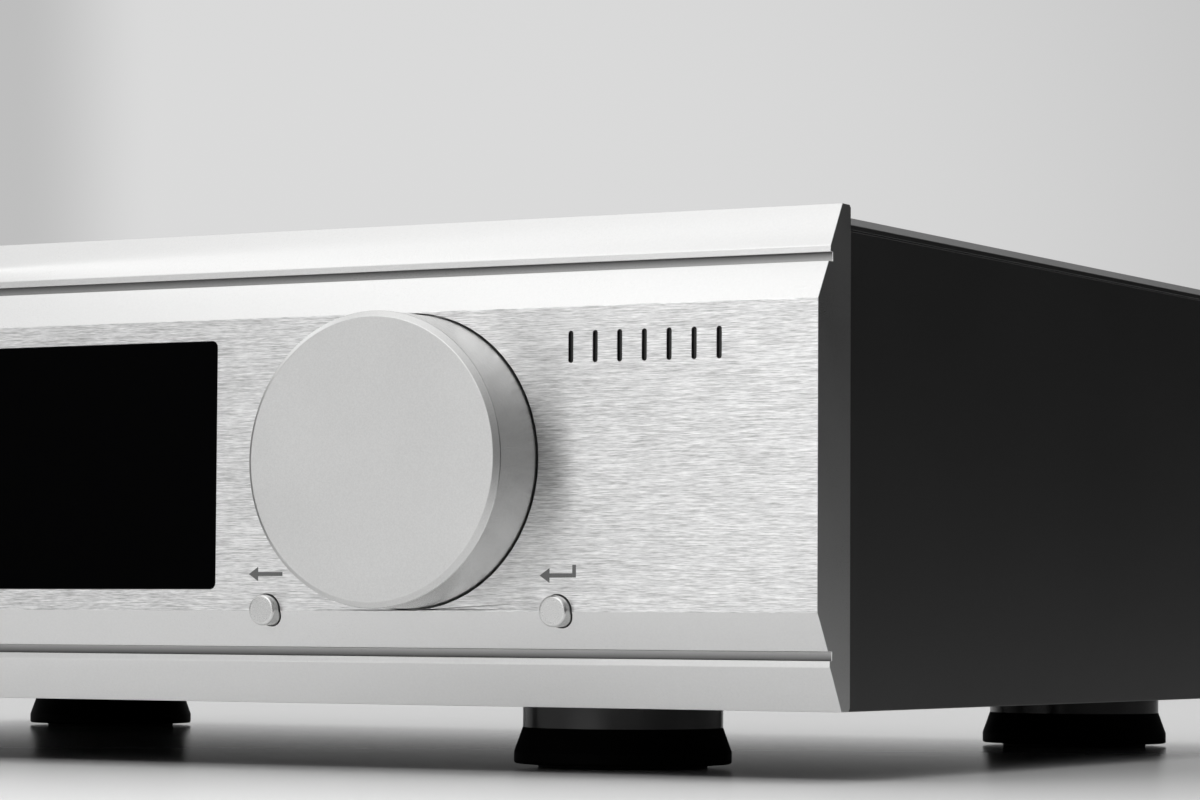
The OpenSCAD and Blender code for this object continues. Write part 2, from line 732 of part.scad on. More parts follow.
// Screws inside: panel posts, side panels, control board and lying boards
module inner_screws() color("silver") placed() {
    for (side = [-1, 1], z = [post_low, post_high]) translate([side * post_x, post_w, z])
        rotate([-90, 0, 0]) screw(l = post_w + 4);
    for (side = [-1, 1], y = post_ys, z = post_side)
        translate([side * (inner_x - post_w), y, z]) rotate([0, -90 * side, 0])
            screw(l = post_w + 4);
    for (p = control_spots) translate([p[0], control_y1, p[1]])
        rotate([-90, 0, 0]) screw(l = control_y1 + 4);
    for (a = areas, p = spots(a)) {
        translate([p[0], p[1], board_top]) screw(l = board_t + 4);
        translate([p[0], p[1], bottom_rise]) rotate([180, 0, 0])
            screw(l = bottom_t + 3, hh = low_head);
    }
}

// ---- Feet ----

foot_head_d = 8;
foot_head_h = 3;
foot_screw_z = -foot_clear + pad_proud + pad_seat + 4;

module foot(i) translate([foot_spots[i][0], foot_spots[i][1], 0]) difference() {
    rotate_extrude() polygon([
        [0, foot_bottom], [flange_d / 2 - 0.3, foot_bottom], [flange_d / 2, foot_bottom + 0.3],
        [flange_d / 2, foot_bottom + flange_h], [foot_d / 2, foot_bottom + flange_h + flare_h],
        [foot_d / 2, foot_top], [0, foot_top]]);
    hole_z(pad_d, foot_bottom - 1, foot_bottom + pad_seat);
    hole_z(foot_head_d + 1, foot_bottom - 1, foot_screw_z);
    hole_z(foot_screw_d + 2 * screw_fit, foot_bottom - 1, foot_top + 1);
}

module foot_front_left() color([0.05, 0.05, 0.05]) placed() foot(0);
module foot_front_right() color([0.05, 0.05, 0.05]) placed() foot(1);
module foot_rear_left() color([0.05, 0.05, 0.05]) placed() foot(2);
module foot_rear_right() color([0.05, 0.05, 0.05]) placed() foot(3);

module foot_pads() color([0.03, 0.03, 0.03]) placed()
    for (p = foot_spots) translate([p[0], p[1], 0])
        hole_z(pad_d - 2 * plate_gap, -foot_clear, foot_bottom + pad_seat);

// ---- Power side ----

toroid_z = floor_z + ring_t;
clamp_z = toroid_z + toroid_h + ring_t;
clamp_t = 2;

module power_transformer() color("gold") placed() translate([toroid_x, toroid_y, 0])
    rotate_extrude() translate([(toroid_d + toroid_bore) / 4, toroid_z + toroid_h / 2])
        polygon(rounded((toroid_d - toroid_bore) / 2, toroid_h, 7));

module transformer_rings() color([0.05, 0.05, 0.05]) placed() translate([toroid_x, toroid_y, 0])
    for (z = [floor_z, toroid_z + toroid_h]) difference() {
        hole_z(toroid_d - 16, z, z + ring_t);
        hole_z(bolt_d + 2, z - 1, z + ring_t + 1);
    }

// Dished washer over the winding, and the bolt that goes up through it into a nut
module transformer_clamp() color("silver") placed() translate([toroid_x, toroid_y, 0]) {
    difference() {
        hole_z(toroid_d - 30, clamp_z, clamp_z + clamp_t);
        hole_z(bolt_d + 2 * screw_fit, clamp_z - 1, clamp_z + clamp_t + 1);
    }
    translate([0, 0, bottom_rise]) rotate([180, 0, 0])
        screw(bolt_d, clamp_z + clamp_t - bottom_rise + 8, bolt_d * 1.7, 3);
    difference() {
        hole_z(bolt_d * 1.9, clamp_z + clamp_t, clamp_z + clamp_t + 5, $fn = 6);
        hole_z(bolt_d + 2 * screw_fit, clamp_z, clamp_z + clamp_t + 6);
    }
}

module shield_wall() color("silver") placed() along_y(front_room, rear_in - 1) polygon([
    [shield_x - shield_foot, floor_z], [shield_x + shield_t, floor_z],
    [shield_x + shield_t, floor_z + shield_h], [shield_x, floor_z + shield_h],
    [shield_x, floor_z + shield_t], [shield_x - shield_foot, floor_z + shield_t]]);

// Places of a lying board's four screws
function spots(a) = [for (x = [a[0] + board_inset, a[1] - board_inset],
                          y = [a[2] + board_inset, a[3] - board_inset]) [x, y]];

module lying_board(a) difference() {
    box([a[0], a[2], board_z], [a[1], a[3], board_top]);
    for (p = spots(a)) translate([p[0], p[1], 0])
        hole_z(screw_d + 2 * screw_fit, board_z - 1, board_top + 1);
}

module power_board() color("darkgreen") placed() lying_board(power_area);
module phono_boards() color("darkgreen") placed() for (a = phono_areas) lying_board(a);

module board_standoffs() color("gainsboro") placed() {
    for (a = areas, p = spots(a)) translate([p[0], p[1], 0]) difference() {
        hole_z(standoff_d, floor_z, board_z);
        hole_z(screw_d + 2 * screw_fit, floor_z - 1, board_z + 1);
    }
    for (p = control_spots) translate([p[0], 0, p[1]]) difference() {
        rod_y(standoff_d, 0, control_gap);
        rod_y(screw_d + 2 * screw_fit, -1, control_gap + 1);
    }
}

power_x = (power_area[0] + power_area[1]) / 2;
sink_l = 84;
fin_h = 32;
sink_base = 3;
fin_l = 14;
fin_t = 1.5;
fin_pitch = 6.5;
reservoir_gap = 1.5;
row_gap = 3;
regulator = [10, 4.5, 16];
regulator_pitch = 24;
lead_rise = 3;
lead_pitch = 2.5;
lead_t = 0.8;
bridge = [20, 4, 14];
bridge_pitch = 36;
bridge_gap = 12;
// What the rows of parts leave free of the board's length, shared out between them
power_free = power_area[3] - power_area[2] - 2 * reservoir_d - row_gap
    - bridge_gap - bridge[1] - sink_base - fin_l;
reservoir_y = power_area[2] + 0.3 * power_free + reservoir_d / 2;
sink_y = power_area[3] - 0.28 * power_free - sink_base - fin_l;

module reservoir_capacitors() color([0.1, 0.12, 0.2]) placed()
    for (i = [-1.5:1:1.5], j = [0, 1])
        translate([power_x + i * (reservoir_d + reservoir_gap),
                   reservoir_y + j * (reservoir_d + row_gap), 0])
            hole_z(reservoir_d, board_top, board_top + reservoir_h);

module heat_sink() color([0.1, 0.1, 0.1]) placed() {
    translate([power_x, sink_y, board_top]) {
        box([-sink_l / 2, 0, 0], [sink_l / 2, sink_base, fin_h]);
        for (i = [-6:6]) box([i * fin_pitch - fin_t / 2, sink_base - 0.01, 0],
                             [i * fin_pitch + fin_t / 2, sink_base + fin_l, fin_h]);
    }
}

module rectifiers_regulators() color([0.06, 0.06, 0.06]) placed()
    translate([power_x, sink_y, board_top]) {
        for (i = [-1:1]) translate([i * regulator_pitch, 0, 0]) {
            box([-regulator[0] / 2, -regulator[1], lead_rise],
                [regulator[0] / 2, 0, lead_rise + regulator[2]]);
            for (k = [-1:1]) box([k * lead_pitch - lead_t / 2, -2 - lead_t, 0],
                                 [k * lead_pitch + lead_t / 2, -2, lead_rise]);
        }
        for (i = [-0.5, 0.5]) translate([i * bridge_pitch, -bridge_gap - bridge[1], 0])
            box([-bridge[0] / 2, 0, 0], [bridge[0] / 2, bridge[1], bridge[2]]);
    }

// ---- Signal side ----

// Repeats its children on both phono boards, on their middle line, at a share of their length
module each_board(share) for (a = phono_areas)
    translate([(a[0] + a[1]) / 2, a[2] + share * (a[3] - a[2]), board_top]) children();

relay = [10, 20, 11];
relay_pitch = 22;
film = [18, 8, 14];
film_pitch = 30;
chip = [10, 6.4, 3.6];
can_d = 8;
can_h = 12;
can_pitch = 20;

module input_relays() color([0.85, 0.85, 0.82]) placed() each_board(0.955)
    for (i = [-1.5:1:1.5]) translate([i * relay_pitch - relay[0] / 2, -relay[1], 0]) cube(relay);

module film_capacitors() color([0.65, 0.12, 0.1]) placed() for (share = [0.6, 0.7])
    each_board(share) for (i = [-1:1])
        translate([i * film_pitch - film[0] / 2, -film[1] / 2, 0]) cube(film);

module amplifier_chips() color([0.05, 0.05, 0.05]) placed() each_board(0.41)
    for (i = [-1:1]) translate([i * film_pitch - chip[0] / 2, -chip[1] / 2, 0]) cube(chip);

module signal_capacitors() color([0.1, 0.1, 0.25]) placed() for (share = [0.15, 0.26])
    each_board(share) for (i = [-2:2]) translate([i * can_pitch, 0, 0]) hole_z(can_d, 0, can_h);

// Flat cables from the control board, down to the bottom plate and up to each phono board
ribbon_w = 20;
module ribbon_cables() color("lightgray") placed()
    for (a = phono_areas) {
        t = 0.9;
        y0 = control_y1;
        y1 = phono_front - 3;
        y2 = phono_front + 5;
        rise = 6;
        x = min((a[0] + a[1]) / 2, foot_spots[1][0] - ribbon_w);
        translate([x, 0, 0]) {
            along_x(ribbon_w) polygon([
                [y0, mid_z - 34], [y0 + 4, mid_z - 34], [y0 + 12, floor_z + t],
                [y1 - 8, floor_z + t], [y1, board_top + rise], [y2, board_top + rise],
                [y2, board_top + rise + t], [y1 - t, board_top + rise + t],
                [y1 - 8 - t, floor_z + 2 * t], [y0 + 12.5, floor_z + 2 * t],
                [y0 + 4.6, mid_z - 34 + t], [y0, mid_z - 34 + t]]);
            box([-ribbon_w / 2 - 1, y2, board_top],
                [ribbon_w / 2 + 1, y2 + 6, board_top + rise + 3]);
        }
    }

// ---- Rear connectors ----

module rca_socket(p) translate([p[0], body_d, p[1]]) difference() {
    union() {
        rod_y(barrel_d, -rear_t - 9, ring_h + 0.5);
        rod_y(socket_flange_d, ring_h, ring_h + socket_flange);
        rod_y(shell_d, ring_h + socket_flange - 0.5, ring_h + socket_flange + shell_l);
        translate([0, -rear_t - ring_h - 2.5, 0]) rotate([-90, 0, 0])
            cylinder(d = socket_nut_w, h = 2.5, $fn = 6);
    }
    rod_y(shell_bore, ring_h, ring_h + socket_flange + shell_l + 1);
}

module rca_inputs() color("gold") placed() for (i = [0:3]) rca_socket(socket_spots[i]);
module rca_outputs() color("gold") placed() for (i = [4:5]) rca_socket(socket_spots[i]);

// Insulating rings on both faces of the rear panel, joined through the hole
module rca_rings() color([0.75, 0.1, 0.1]) placed() for (p = socket_spots)
    translate([p[0], body_d, p[1]]) difference() {
        union() {
            rod_y(ring_d, 0, ring_h);
            rod_y(barrel_hole_d - 2 * screw_fit, -rear_t, 0.5);
            rod_y(inner_ring_d, -rear_t - ring_h, -rear_t);
        }
        rod_y(barrel_d + 2 * screw_fit, -rear_t - ring_h - 1, ring_h + 1);
    }

module rca_centres() color("white") placed() for (p = socket_spots)
    translate([p[0], body_d, p[1]]) difference() {
        rod_y(shell_bore - 2 * push_fit, ring_h, ring_h + socket_flange + shell_l - 0.6);
        rod_y(centre_bore, ring_h + 3, ring_h + socket_flange + shell_l + 1);
    }

module xlr_screw_spots() for (s = [-1, 1])
    translate([s * (xlr_w / 2 - xlr_screw_inset), 0, s * (xlr_h / 2 - xlr_screw_inset)])
        children();

module balanced_outputs() color([0.09, 0.09, 0.09]) placed() for (x = xlr_xs)
    translate([x, body_d, mid_z]) difference() {
        union() {
            along_y(0, xlr_flange) polygon(rounded(xlr_w, xlr_h, xlr_corner));
            rod_y(xlr_barrel, xlr_flange - cavity_l - xlr_back, xlr_flange - 0.5);
        }
        rod_y(cavity_d, xlr_flange - cavity_l, xlr_flange + 1);
        xlr_screw_spots() rod_y(screw_d + 2 * screw_fit, -1, xlr_flange + 1);
    }

module balanced_pins() color("gold") placed() for (x = xlr_xs, a = [90, 210, 330])
    translate([x + pin_circle * cos(a), body_d + xlr_flange, mid_z + pin_circle * sin(a)])
        rod_y(pin_d, -cavity_l, -pin_end);

module ground_stud() color("goldenrod") placed() translate([ground_x, body_d, mid_z]) {
    rod_y(stud_d, -rear_t - stud_in, stud_proud);
    rod_y(thumb_d - 1, 0, stud_collar);
    translate([0, -rear_t - 3, 0]) rotate([-90, 0, 0]) cylinder(d = 9, h = 3, $fn = 6);
}

washer_y = stud_collar + nut_gap;
washer_t = 0.8;

module ground_washer() color("silver") placed() translate([ground_x, body_d, mid_z])
    difference() {
        rod_y(thumb_d - 1.5, washer_y, washer_y + washer_t);
        rod_y(stud_d + 2 * run_fit, washer_y - 1, washer_y + washer_t + 1);
    }

// Thumb nut with a fluted grip
module ground_nut() color("goldenrod") placed() translate([ground_x, body_d, mid_z])
    along_y(washer_y + washer_t + nut_gap, washer_y + washer_t + nut_gap + thumb_l)
        difference() {
            circle(d = thumb_d);
            circle(d = stud_d + 2 * run_fit);
            for (i = [0:17]) rotate(20 * i) translate([thumb_d / 2, 0]) circle(d = 1);
        }

// ---- Mains inlet and switch ----

module inlet_outline() polygon([
    [-inlet_hole[0] / 2, inlet_hole[1] / 2], [inlet_hole[0] / 2, inlet_hole[1] / 2],
    [inlet_hole[0] / 2, -inlet_hole[1] / 2 + inlet_hole[2]],
    [inlet_hole[0] / 2 - inlet_hole[2], -inlet_hole[1] / 2],
    [-inlet_hole[0] / 2 + inlet_hole[2], -inlet_hole[1] / 2],
    [-inlet_hole[0] / 2, -inlet_hole[1] / 2 + inlet_hole[2]]]);

module mains_inlet() color([0.05, 0.05, 0.05]) placed() translate([inlet_x, body_d, 0])
    difference() {
        union() {
            translate([0, 0, mid_z]) {
                along_y(0, inlet_flange) polygon(rounded(inlet_w, inlet_h, 2));
                along_y(inlet_flange - inlet_depth - 6, 0.5)
                    square([inlet_body_w, inlet_body_h], center = true);
            }
        }
        translate([0, 0, inlet_z]) along_y(inlet_flange - inlet_depth, inlet_flange + 1)
            inlet_outline();
        translate([0, 0, drawer_z]) along_y(inlet_flange - drawer_l - 1, inlet_flange + 1)
            square([drawer_w + 2 * drawer_gap, drawer_h + 2 * drawer_gap], center = true);
    }

module inlet_blades() color("gainsboro") placed()
    for (b = [[-7, 2], [7, 2], [0, -2]])
        translate([inlet_x + b[0], 0, inlet_z + b[1]])
            along_y(body_d + inlet_flange - inlet_depth,
                    body_d + inlet_flange - inlet_depth + blade_l)
                square([2, 4], center = true);

module fuse_drawer() color([0.08, 0.08, 0.08]) placed()
    translate([inlet_x, body_d + inlet_flange, drawer_z]) difference() {
        union() {
            along_y(-drawer_l, drawer_gap + 0.5) square([drawer_w, drawer_h], center = true);
            along_y(drawer_gap, drawer_gap + drawer_face)
                polygon(rounded(drawer_w + 3, drawer_h + 3, 1));
        }
        // Pocket for the fuse, open at the top
        box([-fuse_l / 2 - 0.3, -drawer_l + 4, -fuse_d / 2 - 0.1],
            [fuse_l / 2 + 0.3, -drawer_l + 4.6 + fuse_d, drawer_h]);
    }

module fuse() color("lightgray") placed()
    translate([inlet_x - fuse_l / 2, body_d + inlet_flange - drawer_l + 4.3 + fuse_d / 2, drawer_z])
        rotate([0, 90, 0]) cylinder(d = fuse_d, h = fuse_l);

module mains_switch() color([0.05, 0.05, 0.05]) placed() translate([switch_x, body_d, mid_z])
    difference() {
        union() {
            along_y(0, switch_flange)
                polygon(rounded(switch_body[0] + 2.4, switch_body[1] + 2.4, 1));
            along_y(switch_flange - switch_body[2], 0.5)
                square([switch_body[0], switch_body[1]], center = true);
        }
        along_y(-switch_cavity[2], switch_flange + 1)
            square([switch_cavity[0], switch_cavity[1]], center = true);
        translate([-10, pivot_y - body_d, 0]) rotate([0, 90, 0])
            cylinder(d = 2 + 2 * run_fit, h = 20);
    }

// Rocker, at rest with its lower end pressed in
module mains_rocker() color([0.1, 0.1, 0.1]) placed()
    translate([switch_x, pivot_y, mid_z]) rotate([-rocker_tilt, 0, 0]) {
        along_x(rocker_w) polygon([
            [0.4, -rocker_half], [3, -rocker_half], [1.4, 0], [3, rocker_half],
            [0.4, rocker_half], [-5, 4.5], [-5, -4.5]]);
        translate([-switch_body[0] / 2 + 0.3, 0, 0]) rotate([0, 90, 0])
            cylinder(d = 2, h = switch_body[0] - 0.6);
    }

front_panel();
display_window();
display_module();
control_board();
encoder_body();
encoder_nut();
push_switches();
selector_knob();
knob_insert();
encoder_shaft();
back_button();
back_plunger();
enter_button();
enter_plunger();
side_panel_left();
side_panel_right();
top_cover();
bottom_plate();
rear_panel();
corner_posts();
cover_screws();
rear_screws();
bottom_screws();
inner_screws();
foot_front_left();
foot_front_right();
foot_rear_left();
foot_rear_right();
foot_pads();
power_transformer();
transformer_rings();
transformer_clamp();
shield_wall();
power_board();
reservoir_capacitors();
rectifiers_regulators();
heat_sink();
phono_boards();
board_standoffs();
input_relays();
film_capacitors();
amplifier_chips();
signal_capacitors();
ribbon_cables();
rca_inputs();
rca_outputs();
rca_rings();
rca_centres();
balanced_outputs();
balanced_pins();
ground_stud();
ground_washer();
ground_nut();
mains_inlet();
inlet_blades();
fuse_drawer();
fuse();
mains_switch();
mains_rocker();
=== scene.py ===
# %% [markdown]
# # A phono preamp, dressed in Blender
# The case, the front panel, the knob and the sockets come in as solids with real sizes. This
# notebook gives them their finishes, rounds their sharp edges a little and adds the small
# things that a solid model leaves out: printed signs, the turns of the transformer's winding
# and the tiny parts on the boards.
# Everything is in metres. +X is right as seen from the front, +Y is to the rear, +Z is up.

# %% Load the solids
import json
import math
import random
import bmesh
import bpy
from mathutils import Matrix, Vector
from mathutils.bvhtree import BVHTree


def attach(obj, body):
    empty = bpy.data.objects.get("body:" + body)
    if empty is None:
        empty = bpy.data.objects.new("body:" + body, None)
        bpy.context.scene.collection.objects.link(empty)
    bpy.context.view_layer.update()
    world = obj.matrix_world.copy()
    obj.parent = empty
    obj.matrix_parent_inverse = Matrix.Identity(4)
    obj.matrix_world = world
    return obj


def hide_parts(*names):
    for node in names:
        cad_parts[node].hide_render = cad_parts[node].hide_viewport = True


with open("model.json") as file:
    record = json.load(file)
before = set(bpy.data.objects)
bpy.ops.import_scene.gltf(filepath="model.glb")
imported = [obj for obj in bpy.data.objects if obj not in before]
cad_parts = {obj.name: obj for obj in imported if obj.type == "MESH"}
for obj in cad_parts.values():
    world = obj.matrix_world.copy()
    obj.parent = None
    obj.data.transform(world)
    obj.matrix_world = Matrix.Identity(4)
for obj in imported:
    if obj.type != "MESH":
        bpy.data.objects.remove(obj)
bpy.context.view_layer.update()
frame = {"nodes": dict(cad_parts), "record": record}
nodes = frame["nodes"]

# %% [markdown]
# ## Camera
# The view is from the front right corner, a little above the table, with a long lens. A long
# lens from further away keeps the panel's lines almost parallel, as product pictures do. A
# camera's own axes are right, up and backwards, so the directions that point down and ahead
# enter its matrix with their signs turned.

# %% Camera
MM = 0.001
RIGHT = (0.87190, 0.48960, 0.00560)
DOWN = (-0.02180, 0.05030, -0.99850)
AHEAD = (-0.48920, 0.87050, 0.05450)
STAND = (568.0 * MM, -873.25 * MM, 31.685 * MM)
camera_data = bpy.data.cameras.new("camera")
camera_data.sensor_width = 36.0
camera_data.lens = 121.71
camera_data.clip_end = 200.0
camera = bpy.data.objects.new("camera", camera_data)
camera.matrix_world = Matrix([(r, -d, -a, s) for r, d, a, s in zip(RIGHT, DOWN, AHEAD, STAND)]
                             + [(0, 0, 0, 1)])
bpy.context.scene.collection.objects.link(camera)
bpy.context.scene.camera = camera
bpy.context.scene.view_settings.view_transform = "Standard"
print("camera at", [round(v, 3) for v in camera.matrix_world.translation])

# %% [markdown]
# ## Node trees without tears
# A material in Blender is a graph of nodes. These helpers add a node with its settings and
# link sockets, so that each finish below reads as a short recipe. Every finish reads Object
# coordinates: they are metres on the piece, so a grain has a real size.

# %% Helpers for node trees
FLOAT, WHOLE = "NodeSocketFloat", "NodeSocketInt"


def add(tree, kind, inputs=None, **settings):
    """A node of one kind, with its settings and the values or links of its inputs."""
    node = tree.nodes.new(kind)
    for name, value in settings.items():
        setattr(node, name, value)
    for key, value in (inputs or {}).items():
        if isinstance(value, bpy.types.NodeSocket):
            tree.links.new(value, node.inputs[key])
        else:
            node.inputs[key].default_value = value
    return node


def end_nodes(tree):
    """The sockets that a group reads from and those that it writes to."""
    return tree.nodes.new("NodeGroupInput").outputs, tree.nodes.new("NodeGroupOutput").inputs


def new_group(name, inputs, outputs):
    """A shader node group with named numbers as its inputs and outputs."""
    tree = bpy.data.node_groups.new(name, "ShaderNodeTree")
    for label, value in inputs.items():
        socket = tree.interface.new_socket(label, in_out="INPUT", socket_type=FLOAT)
        socket.default_value = value
    for label in outputs:
        tree.interface.new_socket(label, in_out="OUTPUT", socket_type=FLOAT)
    return tree, *end_nodes(tree)


def put_group(tree, group, inputs):
    return add(tree, "ShaderNodeGroup", inputs, node_tree=group).outputs


def object_place(tree):
    return add(tree, "ShaderNodeTexCoord").outputs["Object"]


def object_axes(tree):
    """The X, Y and Z of the shaded point, in metres on the piece."""
    return add(tree, "ShaderNodeSeparateXYZ", {0: object_place(tree)}).outputs


print("helpers ready")

# %% [markdown]
# Masks are numbers from 0 to 1 that say where something is. Multiplied together they cut each
# other down, and a mix node uses one to choose between two values, colours or normals.

# %% Helpers for values and masks
SMOOTH = "SMOOTHSTEP"


def math_node(tree, operation, *values):
    return add(tree, "ShaderNodeMath", dict(enumerate(values)), operation=operation).outputs[0]


def product(tree, *factors):
    result = factors[0]
    for factor in factors[1:]:
        result = math_node(tree, "MULTIPLY", result, factor)
    return result


def stretch(tree, value, low, high, to_low=0.0, to_high=1.0, curve="LINEAR"):
    """Maps a value from one range to another and clamps it."""
    return add(tree, "ShaderNodeMapRange", {"Value": value, "From Min": low, "From Max": high,
                                            "To Min": to_low, "To Max": to_high},
               interpolation_type=curve).outputs[0]


def mix_value(tree, low, high, mask):
    return stretch(tree, mask, 0.0, 1.0, low, high)


def between(tree, value, low, high):
    """1 where a value lies between two limits, else 0."""
    return product(tree, math_node(tree, "GREATER_THAN", value, low),
                   math_node(tree, "LESS_THAN", value, high))


def mixed(tree, mask, first, second, kind="FLOAT"):
    """The first value, colour or normal where the mask is 0, and the second where it is 1."""
    a, b, out = {"FLOAT": (2, 3, 0), "VECTOR": (4, 5, 1), "RGBA": (6, 7, 2)}[kind]
    return add(tree, "ShaderNodeMix", {"Factor": mask, a: first, b: second},
               data_type=kind).outputs[out]


def scaled(tree, colour, by):
    """A colour made lighter or darker."""
    return add(tree, "ShaderNodeVectorMath", {0: colour, "Scale": by},
               operation="SCALE").outputs[0]


def grey(level):
    return (level,) * 3


print("masks ready")

# %% [markdown]
# ## Effects that several finishes share
# Three node groups hold the effects that more than one finish uses. **grain** makes lines or
# specks: a noise squeezed along each axis by its own size in millimetres, so the same group
# gives long brushed strokes or round bead-blast dimples. **handling** adds the faint cloudy
# smudges that any touched surface has. **dust** puts a few tiny specks on dark or flat faces,
# where even a clean unit shows them.

# %% Group: grain
grain, g_in, g_out = new_group(
    "grain", {"Length": 1.0, "Height": 1.0, "Depth": 1.0, "Detail": 3.0}, ("Lines", "Fine"))
per_size = [math_node(grain, "DIVIDE", 1 / MM, g_in[k]) for k in ("Length", "Depth", "Height")]
scale = add(grain, "ShaderNodeCombineXYZ", dict(enumerate(per_size))).outputs[0]
at = add(grain, "ShaderNodeVectorMath", {0: object_place(grain), 1: scale},
         operation="MULTIPLY").outputs[0]
coarse = add(grain, "ShaderNodeTexNoise", {"Vector": at, "Scale": 1.0, "Detail": g_in["Detail"],
                                           "Roughness": 0.6}).outputs["Fac"]
fine = add(grain, "ShaderNodeTexNoise", {"Vector": at, "Scale": 3.7, "Detail": 2.0,
                                         "Roughness": 0.5}).outputs["Fac"]
grain.links.new(stretch(grain, coarse, 0.3, 0.7), g_out["Lines"])
grain.links.new(stretch(grain, fine, 0.3, 0.7), g_out["Fine"])
print("grain has", len(grain.nodes), "nodes")

# %% Group: handling
handling, h_in, h_out = new_group("handling", {"Size": 40.0}, ("Clouds",))
clouds = add(handling, "ShaderNodeTexNoise", {
    "Vector": object_place(handling), "Scale": math_node(handling, "DIVIDE", 1 / MM, h_in["Size"]),
    "Detail": 4.0, "Roughness": 0.55, "Distortion": 0.4}).outputs["Fac"]
handling.links.new(stretch(handling, clouds, 0.32, 0.68), h_out["Clouds"])
print("handling has", len(handling.nodes), "nodes")

# %% Group: dust
EMPTY_SHARE = 0.45
dust, d_in, d_out = new_group("dust", {"Spacing": 12.0, "Size": 0.012}, ("Specks",))
cells = add(dust, "ShaderNodeTexVoronoi", {
    "Vector": object_place(dust), "Scale": math_node(dust, "DIVIDE", 1 / MM, d_in["Spacing"]),
    "Randomness": 1.0}).outputs
# Each cell's own random number says whether it holds a speck, and how big the speck is
chance = add(dust, "ShaderNodeSeparateXYZ", {0: cells["Color"]}).outputs["X"]
speck = math_node(dust, "LESS_THAN", cells["Distance"], product(dust, d_in["Size"], chance))
holds = math_node(dust, "GREATER_THAN", chance, EMPTY_SHARE)
dust.links.new(product(dust, speck, holds), d_out["Specks"])
print("groups:", [g.name for g in bpy.data.node_groups])

# %% [markdown]
# ## The basic recipe
# Each finish starts from one recipe: a grey or coloured base, grain that shifts the colour,
# the roughness and a small bump, and clouds of handling on top. What differs is the numbers.
# Fixed numbers such as the metal value sit on the shader itself.

# %% The recipe as a function
def feed(shader, key):
    """The socket that feeds one input of a shader."""
    return shader.inputs[key].links[0].from_socket


def finish_of(name, colour, rough, metal=0.0, grain_size=(0.4, 0.4, 0.4), tone=0.06,
              rough_shift=0.06, bump=0.1, depth=0.02, cloud=0.03, cloud_size=40.0,
              specular=0.5, coat=0.0, coat_rough=0.1, anisotropic=0.0):
    """A Principled material with grain, handling clouds and a bump; grain and bump in mm."""
    material = bpy.data.materials.new(name)
    material.use_nodes = True
    tree = material.node_tree
    shader = tree.nodes["Principled BSDF"]
    for key, value in (("Metallic", metal), ("Specular IOR Level", specular),
                       ("Coat Weight", coat), ("Coat Roughness", coat_rough),
                       ("Anisotropic", anisotropic)):
        shader.inputs[key].default_value = value
    lines = put_group(tree, grain, dict(zip(("Length", "Height", "Depth"), grain_size)))
    clouds = put_group(tree, handling, {"Size": cloud_size})["Clouds"]
    shade = product(tree, mix_value(tree, 1 - tone, 1 + tone, lines["Lines"]),
                    mix_value(tree, 1 - cloud, 1 + cloud, clouds))
    roughness = math_node(
        tree, "ADD", mix_value(tree, rough - rough_shift, rough + rough_shift, lines["Fine"]),
        mix_value(tree, -cloud, cloud, clouds))
    tree.links.new(scaled(tree, colour, shade), shader.inputs["Base Color"])
    tree.links.new(roughness, shader.inputs["Roughness"])
    if bump:
        height = math_node(tree, "ADD", lines["Lines"], product(tree, lines["Fine"], 0.4))
        normal = add(tree, "ShaderNodeBump", {"Strength": bump, "Distance": depth * MM,
                                              "Height": height}).outputs[0]
        tree.links.new(normal, shader.inputs["Normal"])
    return material


print("recipe ready")

# %% [markdown]
# ## The front panel
# The front panel is one piece of aluminium with two finishes: the flat band is brushed along
# its length, and the bevels, grooves and ends are satin. A mask from the object's own Y
# coordinate tells the band from the rest, because only the band lies in its plane.

# %% Finish: the brushed band
BAND_Y = -167.65 * MM
BAND_GREY = 0.72


def brushed(tree):
    """What feeds the shader on the band: long strokes with finer hairs between them."""
    strokes = put_group(tree, grain, {"Length": 5.0, "Height": 0.19, "Depth": 5.0, "Detail": 4.0})
    hairs = put_group(tree, grain, {"Length": 2.2, "Height": 0.11, "Depth": 2.2, "Detail": 2.0})
    lines = mixed(tree, 0.45, strokes["Lines"], hairs["Lines"])
    patches = put_group(tree, handling, {"Size": 22.0})["Clouds"]
    shade = product(tree, mix_value(tree, 0.42, 1.58, lines),
                    mix_value(tree, 0.97, 1.03, patches))
    normal = add(tree, "ShaderNodeBump", {"Strength": 0.35, "Distance": 0.03 * MM,
                                          "Height": lines}).outputs[0]
    return {"Base Color": scaled(tree, grey(BAND_GREY), shade), "Normal": normal,
            "Roughness": mix_value(tree, 0.3, 0.44, strokes["Fine"])}


print("band grey", BAND_GREY)

# %% Finish: the satin rest
SATIN_GREY = 0.74
MIX_KIND = {"Base Color": "RGBA", "Normal": "VECTOR", "Roughness": "FLOAT"}
panel_finish = finish_of("panel_aluminium", (SATIN_GREY, SATIN_GREY, SATIN_GREY * 0.995), 0.3,
                         metal=1.0, grain_size=(0.5,) * 3, tone=0.02, rough_shift=0.03,
                         bump=0.06, depth=0.01, cloud=0.015, cloud_size=60, anisotropic=0.85)
tree = panel_finish.node_tree
shader = tree.nodes["Principled BSDF"]
shader.inputs["Anisotropic Rotation"].default_value = 0.25
axes = object_axes(tree)
on_band = math_node(tree, "LESS_THAN", axes["Y"], BAND_Y + 0.05 * MM)
for key, flat in brushed(tree).items():
    tree.links.new(mixed(tree, on_band, feed(shader, key), flat, MIX_KIND[key]),
                   shader.inputs[key])
print("made", panel_finish.name)
